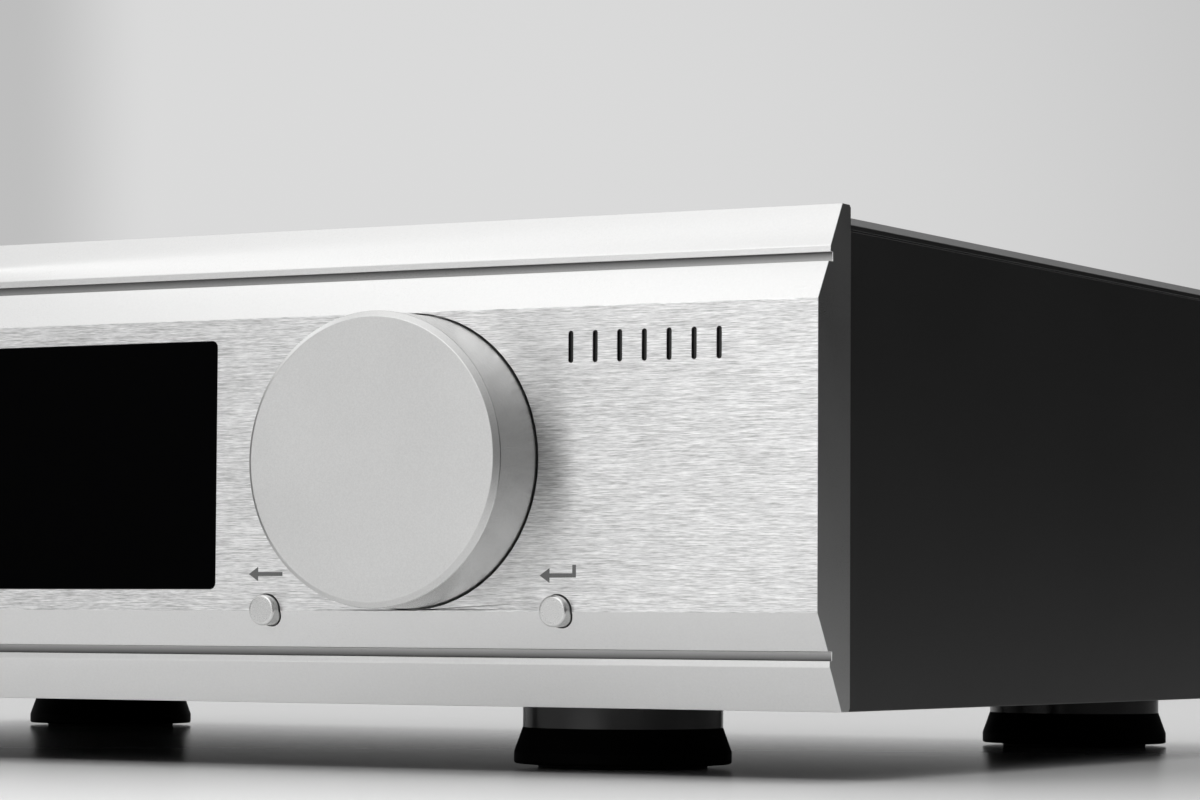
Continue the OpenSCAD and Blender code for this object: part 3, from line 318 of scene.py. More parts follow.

# %% [markdown]
# The inside of the two grooves gets painted shade, lightest at the inner wall and darkest along
# the outer wall. The seven engraved marks get painted shade as well, almost black. Both are places
# on the panel, so masks from the coordinates find them: a groove by its distance from the middle
# line, the marks by a box.

# %% Finish: painted shade in the grooves and engraved marks
MIDDLE_Z, GROOVE_Y, PANEL_END = 64.2 * MM, -162.2 * MM, 219.8 * MM
GROOVE_FROM, GROOVE_TO = 38.15 * MM, 39.95 * MM
MARKS_BOX = {"X": (163.5 * MM, 199.5 * MM), "Y": (BAND_Y + 0.06 * MM, BAND_Y + 0.8 * MM),
             "Z": (82.9 * MM, 90.5 * MM)}
INNER_WALL_SHADE, OUTER_WALL_SHADE, MARK_SHADE = 0.62, 0.1, 0.06
off_middle = math_node(tree, "ABSOLUTE", math_node(tree, "SUBTRACT", axes["Z"], MIDDLE_Z))
off_centre = math_node(tree, "ABSOLUTE", axes["X"])
in_groove = product(tree, between(tree, off_middle, GROOVE_FROM, GROOVE_TO),
                    math_node(tree, "GREATER_THAN", axes["Y"], GROOVE_Y),
                    math_node(tree, "LESS_THAN", off_centre, PANEL_END))
# Painted shade inside the grooves: lighter at the inner wall, darkest at the outer wall.
groove_shade = stretch(tree, off_middle, GROOVE_FROM, GROOVE_TO, INNER_WALL_SHADE, OUTER_WALL_SHADE)
# Painted shade in the engraved marks, nearly black.
painted = product(tree, *[between(tree, axes[a], *MARKS_BOX[a]) for a in MARKS_BOX])
painted_shade = product(tree, mixed(tree, in_groove, 1.0, groove_shade), mix_value(tree, 1.0, MARK_SHADE, painted))
tree.links.new(scaled(tree, feed(shader, "Base Color"), painted_shade), shader.inputs["Base Color"])
print("marks from", MARKS_BOX["X"][0], "to", MARKS_BOX["X"][1])

# %% [markdown]
# ## The other finishes
# One call per finish. The knob is bead-blasted, so its grain is small and round. The case is
# black anodised aluminium: nearly matt, with a weak reflection. The display is black glass
# with an anti-reflection coat, which is why it looks blacker than anything round it.

# %% Finishes: metals
finishes = {"panel_aluminium": panel_finish}


def keep(name, *args, **settings):
    finishes[name] = finish_of(name, *args, **settings)


keep("knob_aluminium", (0.66, 0.66, 0.655), 0.42, metal=1.0, grain_size=(0.32,) * 3, tone=0.05,
     rough_shift=0.05, bump=0.14, depth=0.012, cloud=0.02, cloud_size=30)
keep("post_aluminium", grey(0.78), 0.38, metal=1.0, grain_size=(0.3, 6, 0.3), bump=0.1)
keep("dark_metal", (0.14, 0.14, 0.15), 0.4, metal=1.0, bump=0.12)
keep("black_metal", (0.05, 0.05, 0.055), 0.42, metal=0.6, bump=0.15)
keep("nickel", (0.68, 0.66, 0.62), 0.24, metal=1.0, grain_size=(0.3, 2.0, 0.3), bump=0.05)
keep("black_screw", (0.03, 0.03, 0.032), 0.36, metal=0.3, grain_size=(0.3,) * 3, bump=0.1)
keep("zinc_steel", (0.66, 0.68, 0.70), 0.34, metal=1.0, grain_size=(0.6,) * 3, tone=0.08,
     bump=0.1)
keep("brass", (0.78, 0.58, 0.27), 0.28, metal=1.0, grain_size=(0.3, 2.0, 0.3), bump=0.06)
keep("gold_plate", (0.90, 0.68, 0.30), 0.2, metal=1.0, grain_size=(0.3, 2.0, 0.3), tone=0.03,
     bump=0.03)
keep("enamel_copper", (0.50, 0.20, 0.07), 0.3, metal=0.7, grain_size=(0.5, 5, 0.5), tone=0.12,
     bump=0.1, coat=0.3, coat_rough=0.2)
print(len(finishes), "metal finishes")

# %% Finishes: case, feet and display
keep("black_case", grey(0.011), 0.38, grain_size=(0.35,) * 3, tone=0.16, bump=0.12, cloud=0.025,
     cloud_size=90, specular=0.8)
keep("black_steel", (0.035, 0.035, 0.036), 0.5, grain_size=(0.5,) * 3, tone=0.12, bump=0.25,
     depth=0.03, cloud=0.05, specular=0.4)
keep("foot_black", grey(0.0015), 0.6, tone=0.1, bump=0.05, depth=0.01, cloud=0.02,
     specular=0.05, coat_rough=0.24)
keep("pad_rubber", grey(0.02), 0.75, tone=0.15, bump=0.3, depth=0.04, specular=0.3)
keep("display_glass", (0.0008, 0.0008, 0.0009), 0.08, grain_size=(4,) * 3, tone=0.05,
     rough_shift=0.01, bump=0.0, cloud=0.01, specular=0.01)
print(len(finishes), "finishes so far")

# %% Finishes: boards, plastics and small parts
keep("board_green", (0.012, 0.085, 0.04), 0.34, grain_size=(0.8,) * 3, tone=0.12, bump=0.12,
     coat=0.4, coat_rough=0.2)
keep("winding", (0.50, 0.40, 0.12), 0.35, grain_size=(0.5, 5, 0.5), tone=0.12, bump=0.2,
     coat=0.3, coat_rough=0.25)
keep("sink_black", (0.02, 0.02, 0.022), 0.5, grain_size=(0.3, 4, 0.3), tone=0.12, bump=0.1)
keep("black_plastic", (0.018, 0.018, 0.019), 0.42, grain_size=(0.35,) * 3, tone=0.12, bump=0.2,
     depth=0.03)
keep("rocker_plastic", (0.015, 0.015, 0.016), 0.3, grain_size=(0.5,) * 3, tone=0.08, bump=0.08)
keep("white_plastic", (0.82, 0.81, 0.77), 0.42, grain_size=(0.5,) * 3, tone=0.03, bump=0.08)
keep("red_plastic", (0.46, 0.03, 0.025), 0.38, grain_size=(0.5,) * 3, bump=0.08)
keep("ring_plastic", (0.45, 0.02, 0.018), 0.45, tone=0.08, bump=0.1)
keep("blue_sleeve", (0.015, 0.022, 0.09), 0.32, grain_size=(0.5, 3, 0.5), bump=0.04)
keep("grey_ribbon", (0.42, 0.43, 0.45), 0.5, grain_size=(6.0,) * 3, tone=0.05, bump=0.06)
keep("fuse_glass", (0.75, 0.77, 0.78), 0.12, grain_size=(1.0,) * 3, tone=0.03, bump=0.0)
print(len(finishes), "finishes")

# %% [markdown]
# ## Finishes that change with the place: the front and the case
# The knob's turned side is a little smoother than its face and chamfer. The case, the display
# and the knob carry a few specks of dust. Each foot has a thin clear coat above its flare, so
# its straight wall catches the light and the flare below stays matt.

# %% Knob side, dust and lacquer
KNOB_X, TURNED_FROM, TURNED_GLOSS = 126.8 * MM, 29.95 * MM, 0.14
FLARE_TOP, SPECK = 8.65 * MM, 0.2


def split(name):
    """The tree, the shader and the X, Y, Z outputs of a finish's Object coordinates."""
    tree = finishes[name].node_tree
    return tree, tree.nodes["Principled BSDF"], object_axes(tree)


def recolour(tree, shader, mask, colour):
    """Where the mask is 1 the base takes another colour."""
    tree.links.new(mixed(tree, mask, feed(shader, "Base Color"), (*colour, 1.0), "RGBA"),
                   shader.inputs["Base Color"])


tree, shader, axes = split("knob_aluminium")
across = math_node(tree, "SUBTRACT", axes["X"], KNOB_X)
up = math_node(tree, "SUBTRACT", axes["Z"], MIDDLE_Z)
radius = math_node(tree, "SQRT", math_node(
    tree, "ADD", product(tree, across, across), product(tree, up, up)))
on_side = math_node(tree, "GREATER_THAN", radius, TURNED_FROM)
tree.links.new(math_node(tree, "SUBTRACT", feed(shader, "Roughness"),
                         product(tree, on_side, TURNED_GLOSS)), shader.inputs["Roughness"])

for name, spacing, level in (("black_case", 24.0, 0.09), ("display_glass", 30.0, 0.06),
                             ("knob_aluminium", 13.0, 0.35)):
    tree, shader, axes = split(name)
    specks = put_group(tree, dust, {"Spacing": spacing, "Size": SPECK / spacing})["Specks"]
    recolour(tree, shader, specks, grey(level))

tree, shader, axes = split("foot_black")
tree.links.new(math_node(tree, "GREATER_THAN", axes["Z"], FLARE_TOP),
               shader.inputs["Coat Weight"])
print("place masks on knob, case, display and feet")

# %% [markdown]
# ## Finishes that change with the place: rear and inside
# Some pieces carry two colours or a pattern. The rings under the phono sockets are red for the
# right channel (lower row) and white for the left (upper row). The flat cable gets a thin line
# of painted shade between each pair of wires, which draws one ridge per wire. The fuse is a
# glass tube with nickel caps. The ground stud has an M4 thread: on the real one it is rolled;
# here it is a helix in the shading, because the ridges are finer than anything that a view of
# the whole unit can show.

# %% Two colours, painted shade between wires, caps and a thread
WIRE_PITCH, VALLEY = 1.27 * MM, 0.1
FUSE_X, FUSE_GLASS = -172.0 * MM, 5.2 * MM
STUD_X, THREAD_PITCH, THREAD_FROM = 140.0 * MM, 0.7 * MM, 169.4 * MM

tree, shader, axes = split("ring_plastic")
recolour(tree, shader, math_node(tree, "GREATER_THAN", axes["Z"], MIDDLE_Z), (0.78, 0.78, 0.75))

tree, shader, axes = split("grey_ribbon")
ridge = math_node(tree, "FRACT", product(tree, axes["X"], 1 / WIRE_PITCH))
off_crest = math_node(tree, "ABSOLUTE", math_node(tree, "SUBTRACT", ridge, 0.5))
# Painted shade: a thin darker line in the valley between each pair of wires draws the ridges.
recolour(tree, shader, math_node(tree, "LESS_THAN", off_crest, VALLEY), (0.2, 0.2, 0.22))

tree, shader, axes = split("fuse_glass")
from_middle = math_node(tree, "ABSOLUTE", math_node(tree, "SUBTRACT", axes["X"], FUSE_X))
caps = math_node(tree, "GREATER_THAN", from_middle, FUSE_GLASS)
recolour(tree, shader, caps, (0.66, 0.65, 0.62))
tree.links.new(caps, shader.inputs["Metallic"])

finishes["stud_thread"] = finishes["gold_plate"].copy()
finishes["stud_thread"].name = "stud_thread"
tree, shader, axes = split("stud_thread")
angle = math_node(tree, "ARCTAN2", math_node(tree, "SUBTRACT", axes["Z"], MIDDLE_Z),
                  math_node(tree, "SUBTRACT", axes["X"], STUD_X))
turns = math_node(tree, "ADD", product(tree, axes["Y"], 1 / THREAD_PITCH),
                  math_node(tree, "DIVIDE", angle, 2 * math.pi))
flank = product(tree, math_node(tree, "PINGPONG", turns, 0.5),
                math_node(tree, "GREATER_THAN", axes["Y"], THREAD_FROM))
ridged = add(tree, "ShaderNodeBump", {"Strength": 1.0, "Distance": 0.3 * MM, "Height": flank,
                                      "Normal": feed(shader, "Normal")})
tree.links.new(ridged.outputs[0], shader.inputs["Normal"])
print("place masks on", ["ring_plastic", "grey_ribbon", "fuse_glass", "stud_thread"])

# %% [markdown]
# ## Which solid wears what
# Each solid comes in with the name of its material slot from the record. The scene follows
# it, so the finish and the record always agree.

# %% Put the finishes on the solids
slot_of = {name: solid.material_slots[0].name.split(".")[0] for name, solid in nodes.items()}
for name, solid in nodes.items():
    solid.data.materials.clear()
    solid.data.materials.append(finishes[slot_of[name]])
nodes["ground_stud"].data.materials[0] = finishes["stud_thread"]
print("slots in use:", sorted(set(slot_of.values())))

# %% [markdown]
# ## Soft edges
# A solid has perfectly sharp edges, and real metal never does: each edge is broken by a tenth
# or two of a millimetre and catches a thin line of light. A Bevel modifier does that. It works
# on a merged copy, because the solids themselves stay as they are, and the copy then stands
# for the solid. Edges sharper than the limit angle get the bevel; round walls stay smooth.

# %% A softened copy of a solid
EDGE_LIMIT, FLAT_LIMIT = math.radians(28), math.radians(0.4)
SAME_POINT = 0.002 * MM
body_of = {name: body for body, names in frame["record"]["behaviour"]["bodies"].items()
           for name in names}


def tidy_copy(name):
    """A merged copy of one solid, without the extra edges on its flat faces."""
    mesh = nodes[name].data.copy()
    shape = bmesh.new()
    shape.from_mesh(mesh)
    bmesh.ops.remove_doubles(shape, verts=shape.verts, dist=SAME_POINT)
    bmesh.ops.dissolve_limit(shape, angle_limit=FLAT_LIMIT, verts=shape.verts,
                             edges=shape.edges, use_dissolve_boundaries=False)
    shape.to_mesh(mesh)
    shape.free()
    mesh.shade_smooth()
    mesh.set_sharp_from_angle(angle=EDGE_LIMIT)
    return mesh


def into_mesh(piece):
    """Applies a piece's modifiers, so that what is left is a plain mesh."""
    graph = bpy.context.evaluated_depsgraph_get()
    made = bpy.data.meshes.new_from_object(piece.evaluated_get(graph), depsgraph=graph)
    piece.modifiers.clear()
    piece.data = made
    return piece


def new_piece(name, mesh):
    piece = bpy.data.objects.new(name, mesh)
    bpy.context.scene.collection.objects.link(piece)
    return piece


def soften(name, width):
    worn = nodes[name].data.materials[0]
    piece = new_piece(name + "_soft", tidy_copy(name))
    bevel = piece.modifiers.new("edges", "BEVEL")
    bevel.width = width * MM
    bevel.segments = 2
    bevel.limit_method = "ANGLE"
    bevel.angle_limit = EDGE_LIMIT
    bevel.use_clamp_overlap = False
    bevel.harden_normals = False
    weigh = piece.modifiers.new("normals", "WEIGHTED_NORMAL")
    weigh.mode = "FACE_AREA"
    weigh.weight = 100
    weigh.keep_sharp = True
    into_mesh(piece)
    piece.data.materials.clear()
    piece.data.materials.append(worn)
    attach(piece, body_of[name])
    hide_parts(name)
    return piece


# %% [markdown]
# The knob, the buttons and the feet come from a lathe. Their walls take exact normals, straight
# out from their axis, so a reflection runs round them without steps. Flat ends, bores and the
# narrow strips of a rounded edge keep the normals that they have.

# %% Exact normals for turned walls
FLAT_END, FACES_OUT, SLANTED, STRIP_AREA = 0.95, 0.95, 0.02, 0.4 * MM * MM


def exact_walls(piece, axis):
    """The outer walls and chamfers of a turned piece take exact normals about its axis."""
    mesh = piece.data
    spots = [v.co for v in mesh.vertices]
    centre = Vector([(min(c[i] for c in spots) + max(c[i] for c in spots)) / 2 for i in range(3)])
    normals = [Vector(n.vector) for n in mesh.corner_normals]
    for face in mesh.polygons:
        along = face.normal[axis]
        if abs(along) > FLAT_END or (abs(along) > SLANTED and face.area < STRIP_AREA):
            continue
        sideways = (1 - along ** 2) ** 0.5
        out = face.center - centre
        out[axis] = 0.0
        if out.normalized().dot(face.normal) < FACES_OUT * sideways:
            continue
        for i in face.loop_indices:
            way = mesh.vertices[mesh.loops[i].vertex_index].co - centre
            way[axis] = 0.0
            way = way.normalized() * sideways
            way[axis] = along
            normals[i] = way
    mesh.normals_split_custom_set(normals)


print("ready for turned walls")

# %% Soften the edges that show (widths in mm, and the axis of what is turned)
TURNED = {"selector_knob": 1, "back_button": 1, "enter_button": 1, "foot_front_left": 2,
          "foot_front_right": 2, "foot_rear_left": 2, "foot_rear_right": 2}
SOFT_EDGES = {"front_panel": 0.12, "selector_knob": 0.1, "display_window": 0.12,
              "side_panel_left": 0.2, "side_panel_right": 0.2, "top_cover": 0.12,
              "bottom_plate": 0.15, "foot_front_left": 0.2, "foot_front_right": 0.2,
              "foot_rear_left": 0.2, "foot_rear_right": 0.2, "foot_pads": 0.15,
              "back_button": 0.15, "enter_button": 0.15, "rear_panel": 0.12,
              "balanced_outputs": 0.12, "mains_inlet": 0.15, "fuse_drawer": 0.15,
              "mains_switch": 0.1, "mains_rocker": 0.12, "rca_rings": 0.08, "ground_nut": 0.06,
              "ground_stud": 0.08, "shield_wall": 0.1, "heat_sink": 0.1, "input_relays": 0.2,
              "film_capacitors": 0.25, "rectifiers_regulators": 0.1, "corner_posts": 0.1}
for name, width in SOFT_EDGES.items():
    piece = soften(name, width)
    if name in TURNED:
        exact_walls(piece, TURNED[name])
    print(piece.name, len(piece.data.polygons), "faces")

# %% [markdown]
# ## Signs over the two buttons
# On a real unit these are screen-printed in dark grey ink after anodising. Here each sign is a
# thin raised shape: an arrow to the left for going back, and an arrow that comes down and
# turns left for confirming. Both are drawn as outlines in millimetres and given the thickness
# of a printed ink layer, 0.03 mm.

# %% Printed signs
INK_TOP, INK_UNDER = 0.03 * MM, -0.01 * MM
LEFT_ARROW = [(-4.2, 0.0), (-1.9, 1.5), (-1.9, 0.42), (4.2, 0.42), (4.2, -0.42), (-1.9, -0.42),
              (-1.9, -1.5)]
TURN_ARROW = [(-4.2, -0.55), (-1.9, 0.95), (-1.9, -0.13), (3.36, -0.13), (3.36, 1.6), (4.2, 1.6),
              (4.2, -0.97), (-1.9, -0.97), (-1.9, -2.05)]
ink = finish_of("printed_ink", grey(0.10), 0.6, grain_size=(0.25,) * 3, tone=0.12, bump=0.05,
                depth=0.005, specular=0.3)


def print_sign(name, outlines, x, z, face=BAND_Y, outward=-1, body="chassis", wear=ink):
    """Closed outlines (mm from the sign's centre) as a thin layer of ink on a face.

    The face is a Y value, or a function that gives the Y of the surface at X and Z.
    """
    surface = face if callable(face) else lambda a, b: face
    shape = bmesh.new()
    for outline in outlines:
        spots = [(x + a * MM, z + b * MM) for a, b in outline]
        front, back = [[shape.verts.new((a, surface(a, b) + outward * lift, b))
                        for a, b in spots] for lift in (INK_TOP, INK_UNDER)]
        shape.faces.new(front)
        shape.faces.new(back[::-1])
        for i in range(len(front)):
            j = (i + 1) % len(front)
            shape.faces.new((front[j], front[i], back[i], back[j]))
    bmesh.ops.recalc_face_normals(shape, faces=shape.faces)
    bmesh.ops.triangulate(shape, faces=[f for f in shape.faces if len(f.verts) > 4])
    mesh = bpy.data.meshes.new(name)
    shape.to_mesh(mesh)
    shape.free()
    mesh.materials.append(wear)
    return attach(new_piece(name, mesh), body)


print_sign("sign_back", [LEFT_ARROW], 91.6 * MM, 41.2 * MM)
print_sign("sign_enter", [TURN_ARROW], 162.0 * MM, 41.4 * MM)
print("signs printed")

# %% [markdown]
# ## Signs on the rear
# A rear panel needs marks for the person who plugs in cables from memory. They are printed in
# light grey: a bracket with a triangle pointing down over the inputs (signal goes in), one
# pointing up over each group of outputs (signal comes out), and the earth sign over the ground
# post.

# %% Rear signs
REAR_Y = 166.85 * MM
pale_ink = finish_of("pale_ink", (0.55, 0.55, 0.54), 0.6, grain_size=(0.25,) * 3, tone=0.08,
                     bump=0.05, depth=0.005, specular=0.3)


def bar(x0, z0, x1, z1):
    return [(x0, z0), (x1, z0), (x1, z1), (x0, z1)]


def triangle(z_from, z_to, half):
    return [(-half, z_from), (half, z_from), (0, z_to)]


def bracket(half, up):
    """A line over a group of sockets, with short ends and a triangle in or out."""
    mark = triangle(0.6, 3.4, 1.7) if up else triangle(3.4, 0.6, 1.7)
    return [bar(-half, -0.2, half, 0.2), bar(-half, -1.6, -half + 0.4, -0.2),
            bar(half - 0.4, -1.6, half, -0.2), mark]


EARTH = [bar(-0.2, 0.4, 0.2, 2.4), bar(-2.0, 0.0, 2.0, 0.4), bar(-1.3, -0.9, 1.3, -0.5),
         bar(-0.6, -1.8, 0.6, -1.4)]
REAR_SIGNS = {"sign_inputs": (bracket(20.0, False), 177.0, 92.6),
              "sign_output": (bracket(7.0, True), 114.0, 92.6),
              "sign_balanced": (bracket(31.0, True), 60.0, 84.6),
              "sign_earth": (EARTH, 140.0, 76.2)}
for name, (outlines, x, z) in REAR_SIGNS.items():
    print_sign(name, outlines, x * MM, z * MM, REAR_Y, 1, wear=pale_ink)
print("rear signs printed")

# %% [markdown]
# The rocker carries the bar and the ring for on and off, moulded a hair proud. Their points
# are dropped on the rocker's sloped face by casting rays at its solid.

# %% Signs on the rocker
SWITCH_X, SIGN_REACH = -138.0 * MM, 3.9 * MM
OUTSIDE_Y = 0.2


def ring(inner, outer, steps=32):
    """A ring as two half outlines, so that each is a simple closed shape."""
    turn = [math.pi * i / (steps // 2) for i in range(steps // 2 + 1)]
    return [[(math.cos(t + o) * outer, math.sin(t + o) * outer) for t in turn]
            + [(math.cos(t + o) * inner, math.sin(t + o) * inner) for t in reversed(turn)]
            for o in (0, math.pi)]


def rays_at(name):
    """A tree of one solid's faces that rays can be cast at."""
    mesh = nodes[name].data
    return BVHTree.FromPolygons([v.co for v in mesh.vertices],
                                [tuple(f.vertices) for f in mesh.polygons])


rocker_tree = rays_at("mains_rocker")


def on_rocker(x, z):
    return rocker_tree.ray_cast(Vector((x, OUTSIDE_Y, z)), Vector((0, -1, 0)))[0].y


for name, outlines, z in (("sign_on", [bar(-0.25, -1.5, 0.25, 1.5)], MIDDLE_Z + SIGN_REACH),
                          ("sign_off", ring(1.05, 1.5), MIDDLE_Z - SIGN_REACH)):
    print_sign(name, outlines, SWITCH_X, z, on_rocker, 1, "mains_rocker", pale_ink)
print("rocker signs moulded")

# %% [markdown]
# ## The winding on the toroid
# A toroidal transformer is wound by a shuttle that passes through its bore. The wire is copper
# with a clear enamel, and what one sees is a fan of turns that crowd at the bore and spread at
# the rim. The dark body under them is the insulated core with its inner layers.
# Geometry Nodes make one turn, a rounded rectangle swept with a thin round section, and put a
# copy at each step round the axis. The count and the size are inputs of the tree.

# %% Helpers for Geometry Nodes
def modifier_tree(name, inputs):
    """A Geometry Nodes tree with a mesh in and out and some named numbers."""
    tree = bpy.data.node_groups.new(name, "GeometryNodeTree")
    tree.interface.new_socket("Geometry", in_out="INPUT", socket_type="NodeSocketGeometry")
    ids = {}
    for label, kind, value in inputs:
        socket = tree.interface.new_socket(label, in_out="INPUT", socket_type=kind)
        socket.default_value = value
        ids[label] = socket.identifier
    tree.interface.new_socket("Geometry", in_out="OUTPUT", socket_type="NodeSocketGeometry")
    return tree, *end_nodes(tree), ids


def grow(name, tree, ids, values, body, seed_mesh=None):
    """Runs a tree on a new piece and keeps the result as a plain mesh."""
    piece = new_piece(name, seed_mesh or bpy.data.meshes.new(name))
    modifier = piece.modifiers.new("grow", "NODES")
    modifier.node_group = tree
    for label, value in values.items():
        modifier[ids[label]] = value
    into_mesh(piece)
    piece.data.shade_smooth()
    piece.data.set_sharp_from_angle(angle=EDGE_LIMIT)
    print(name, len(piece.data.polygons), "faces")
    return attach(piece, body)


print("ready to grow pieces")

# %% Turns of the winding
TURN_COUNT, WIRE_RADIUS = 150, 0.35 * MM
TOROID = (-146.0 * MM, -34.15 * MM, 40.2 * MM)
turns, t_in, t_out, turn_ids = modifier_tree("tape_turns", [
    ("Turns", WHOLE, TURN_COUNT), ("Width", FLOAT, 37 * MM), ("Height", FLOAT, 42 * MM),
    ("Corner", FLOAT, 7 * MM), ("Wire", FLOAT, WIRE_RADIUS), ("Radius", FLOAT, 33.5 * MM)])
outline = add(turns, "GeometryNodeCurvePrimitiveQuadrilateral",
              {"Width": t_in["Width"], "Height": t_in["Height"]})
rounded = add(turns, "GeometryNodeFilletCurve", {
    "Curve": outline.outputs[0], "Radius": t_in["Corner"], "Count": 5}, mode="POLY")
section = add(turns, "GeometryNodeCurvePrimitiveCircle", {"Resolution": 6,
                                                          "Radius": t_in["Wire"]})
wire = add(turns, "GeometryNodeCurveToMesh", {"Curve": rounded.outputs[0],
                                              "Profile Curve": section.outputs[0]})
upright = add(turns, "GeometryNodeTransform", {"Geometry": wire.outputs[0],
                                               "Rotation": (math.pi / 2, 0, 0)})
shift = add(turns, "ShaderNodeCombineXYZ", {"X": t_in["Radius"]})
one_turn = add(turns, "GeometryNodeTransform", {"Geometry": upright.outputs[0],
                                                "Translation": shift.outputs[0]})
spots = add(turns, "GeometryNodeMeshLine", {"Count": t_in["Turns"], "Offset": (0, 0, 0)})
step = math_node(turns, "DIVIDE", 2 * math.pi, t_in["Turns"])
number = add(turns, "GeometryNodeInputIndex").outputs[0]
spin = add(turns, "ShaderNodeCombineXYZ", {"Z": product(turns, number, step)})
fan = add(turns, "GeometryNodeInstanceOnPoints", {
    "Points": spots.outputs[0], "Instance": one_turn.outputs[0], "Rotation": spin.outputs[0]})
real = add(turns, "GeometryNodeRealizeInstances", {"Geometry": fan.outputs[0]})
placed = add(turns, "GeometryNodeTransform", {"Geometry": real.outputs[0],
                                              "Translation": TOROID})
coloured = add(turns, "GeometryNodeSetMaterial", {"Geometry": placed.outputs[0],
                                                  "Material": finishes["enamel_copper"]})
turns.links.new(coloured.outputs[0], t_out["Geometry"])
grow("winding_turns", turns, turn_ids, {"Turns": TURN_COUNT, "Wire": WIRE_RADIUS}, "chassis")

# %% [markdown]
# ## Small parts on the boards
# Between the big parts a real board is dotted with resistors and ceramic capacitors in small
# surface-mount cases, placed by a machine in straight rows. A script picks free places: it
# looks straight down on each board and keeps the spots where the board itself is the first
# thing hit. Geometry Nodes put a chip on each spot: a dark body with two bright ends.

# %% One chip on each point
BODY_SHARE, END_SHARE, END_AT, END_HEIGHT = 0.6, 0.2, 0.4, 1.08
chips, c_in, c_out, chip_ids = modifier_tree("board_chips", [
    ("Length", FLOAT, 2.0 * MM), ("Width", FLOAT, 1.25 * MM), ("Height", FLOAT, 0.5 * MM)])


def block(length, height, offset, finish):
    """One box of a chip, standing on the board."""
    size = add(chips, "ShaderNodeCombineXYZ", {"X": length, "Y": c_in["Width"], "Z": height})
    cube = add(chips, "GeometryNodeMeshCube", {"Size": size.outputs[0]})
    lift = add(chips, "ShaderNodeCombineXYZ", {"X": offset, "Z": product(chips, height, 0.5)})
    moved = add(chips, "GeometryNodeTransform", {"Geometry": cube.outputs["Mesh"],
                                                 "Translation": lift.outputs[0]})
    return add(chips, "GeometryNodeSetMaterial", {
        "Geometry": moved.outputs[0], "Material": finishes[finish]}).outputs[0]


end_length = product(chips, c_in["Length"], END_SHARE)
end_height = product(chips, c_in["Height"], END_HEIGHT)
join = add(chips, "GeometryNodeJoinGeometry")
for made in (block(product(chips, c_in["Length"], BODY_SHARE), c_in["Height"], 0.0,
                   "black_plastic"),
             block(end_length, end_height, product(chips, c_in["Length"], END_AT), "nickel"),
             block(end_length, end_height, product(chips, c_in["Length"], -END_AT), "nickel")):
    chips.links.new(made, join.inputs[0])
way_round = add(chips, "GeometryNodeInputNamedAttribute", {"Name": "turn"}, data_type="FLOAT")
spin = add(chips, "ShaderNodeCombineXYZ", {"Z": way_round.outputs[0]})
rows = add(chips, "GeometryNodeInstanceOnPoints", {
    "Points": c_in["Geometry"], "Instance": join.outputs[0], "Rotation": spin.outputs[0]})
real = add(chips, "GeometryNodeRealizeInstances", {"Geometry": rows.outputs[0]})
chips.links.new(real.outputs[0], c_out["Geometry"])
print("chip made of", len(chips.nodes), "nodes")

# %% Rows of chips where the boards are free
BOARD_TOP, SUNK, LEVEL, PROBE_Z = 26.8 * MM, 0.01 * MM, 0.05 * MM, 0.1
CHIP_STEP, ROW_STEP, CLEARANCE = 3.6, 3.4, 2
above = {name: rays_at(name) for name in (
    "phono_boards", "power_board", "amplifier_chips", "film_capacitors", "input_relays",
    "signal_capacitors", "ribbon_cables", "inner_screws", "reservoir_capacitors",
    "rectifiers_regulators", "heat_sink", "board_standoffs")}


def free_spot(x, y, board):
    """True where the board is the first thing below, also a little to each side."""
    for dx, dy in ((0, 0), (1, 1), (-1, 1), (1, -1), (-1, -1)):
        start = Vector((x + dx * CLEARANCE * MM, y + dy * CLEARANCE * MM, PROBE_Z))
        hits = {n: t.ray_cast(start, Vector((0, 0, -1)))[0] for n, t in above.items()}
        heights = {n: h.z for n, h in hits.items() if h is not None}
        if not heights or max(heights, key=heights.get) != board:
            return False
        if abs(heights[board] - BOARD_TOP) > LEVEL:
            return False
    return True


def chip_rows(name, board, x_from, x_to, y_from, y_to, share):
    """Chips in rows (all in mm), on a share of the places that are free."""
    chance = random.Random(name)
    points, quarter = [], []
    y = y_from
    while y < y_to:
        x = x_from
        while x < x_to:
            if chance.random() < share and free_spot(x * MM, y * MM, board):
                points.append((x * MM, y * MM, BOARD_TOP - SUNK))
                quarter.append(chance.choice((0.0, math.pi / 2)))
            x += CHIP_STEP
        y += ROW_STEP
    mesh = bpy.data.meshes.new(name)
    mesh.from_pydata(points, [], [])
    mesh.attributes.new("turn", "FLOAT", "POINT").data.foreach_set("value", quarter)
    return grow(name, chips, chip_ids, {}, "chassis", mesh)


chip_rows("phono_chips", "phono_boards", -64.0, 203.0, 20.5, 127.0, 0.42)
chip_rows("power_chips", "power_board", -196.0, -93.0, 34.0, 127.0, 0.25)

# %% [markdown]
# ## Room and light
# A bright metal part looks like the room it stands in, so the room matters as much as the
# lamps. The front and the left are pale, the rear right is dark: that is why the upper bevels
# shine, the band is light grey, and the right end and side of the case stay dark.
#
# The table is a big pale sheet with a soft sheen. Seen at a low angle its sheen wins over its
# own colour, so under the case it mirrors the black bottom and fades to the wall further back.
# At the front right, out of the camera's sight, the table's colour is painted darker for every
# ray but the camera's own: painted shade that keeps a metal edge dark.

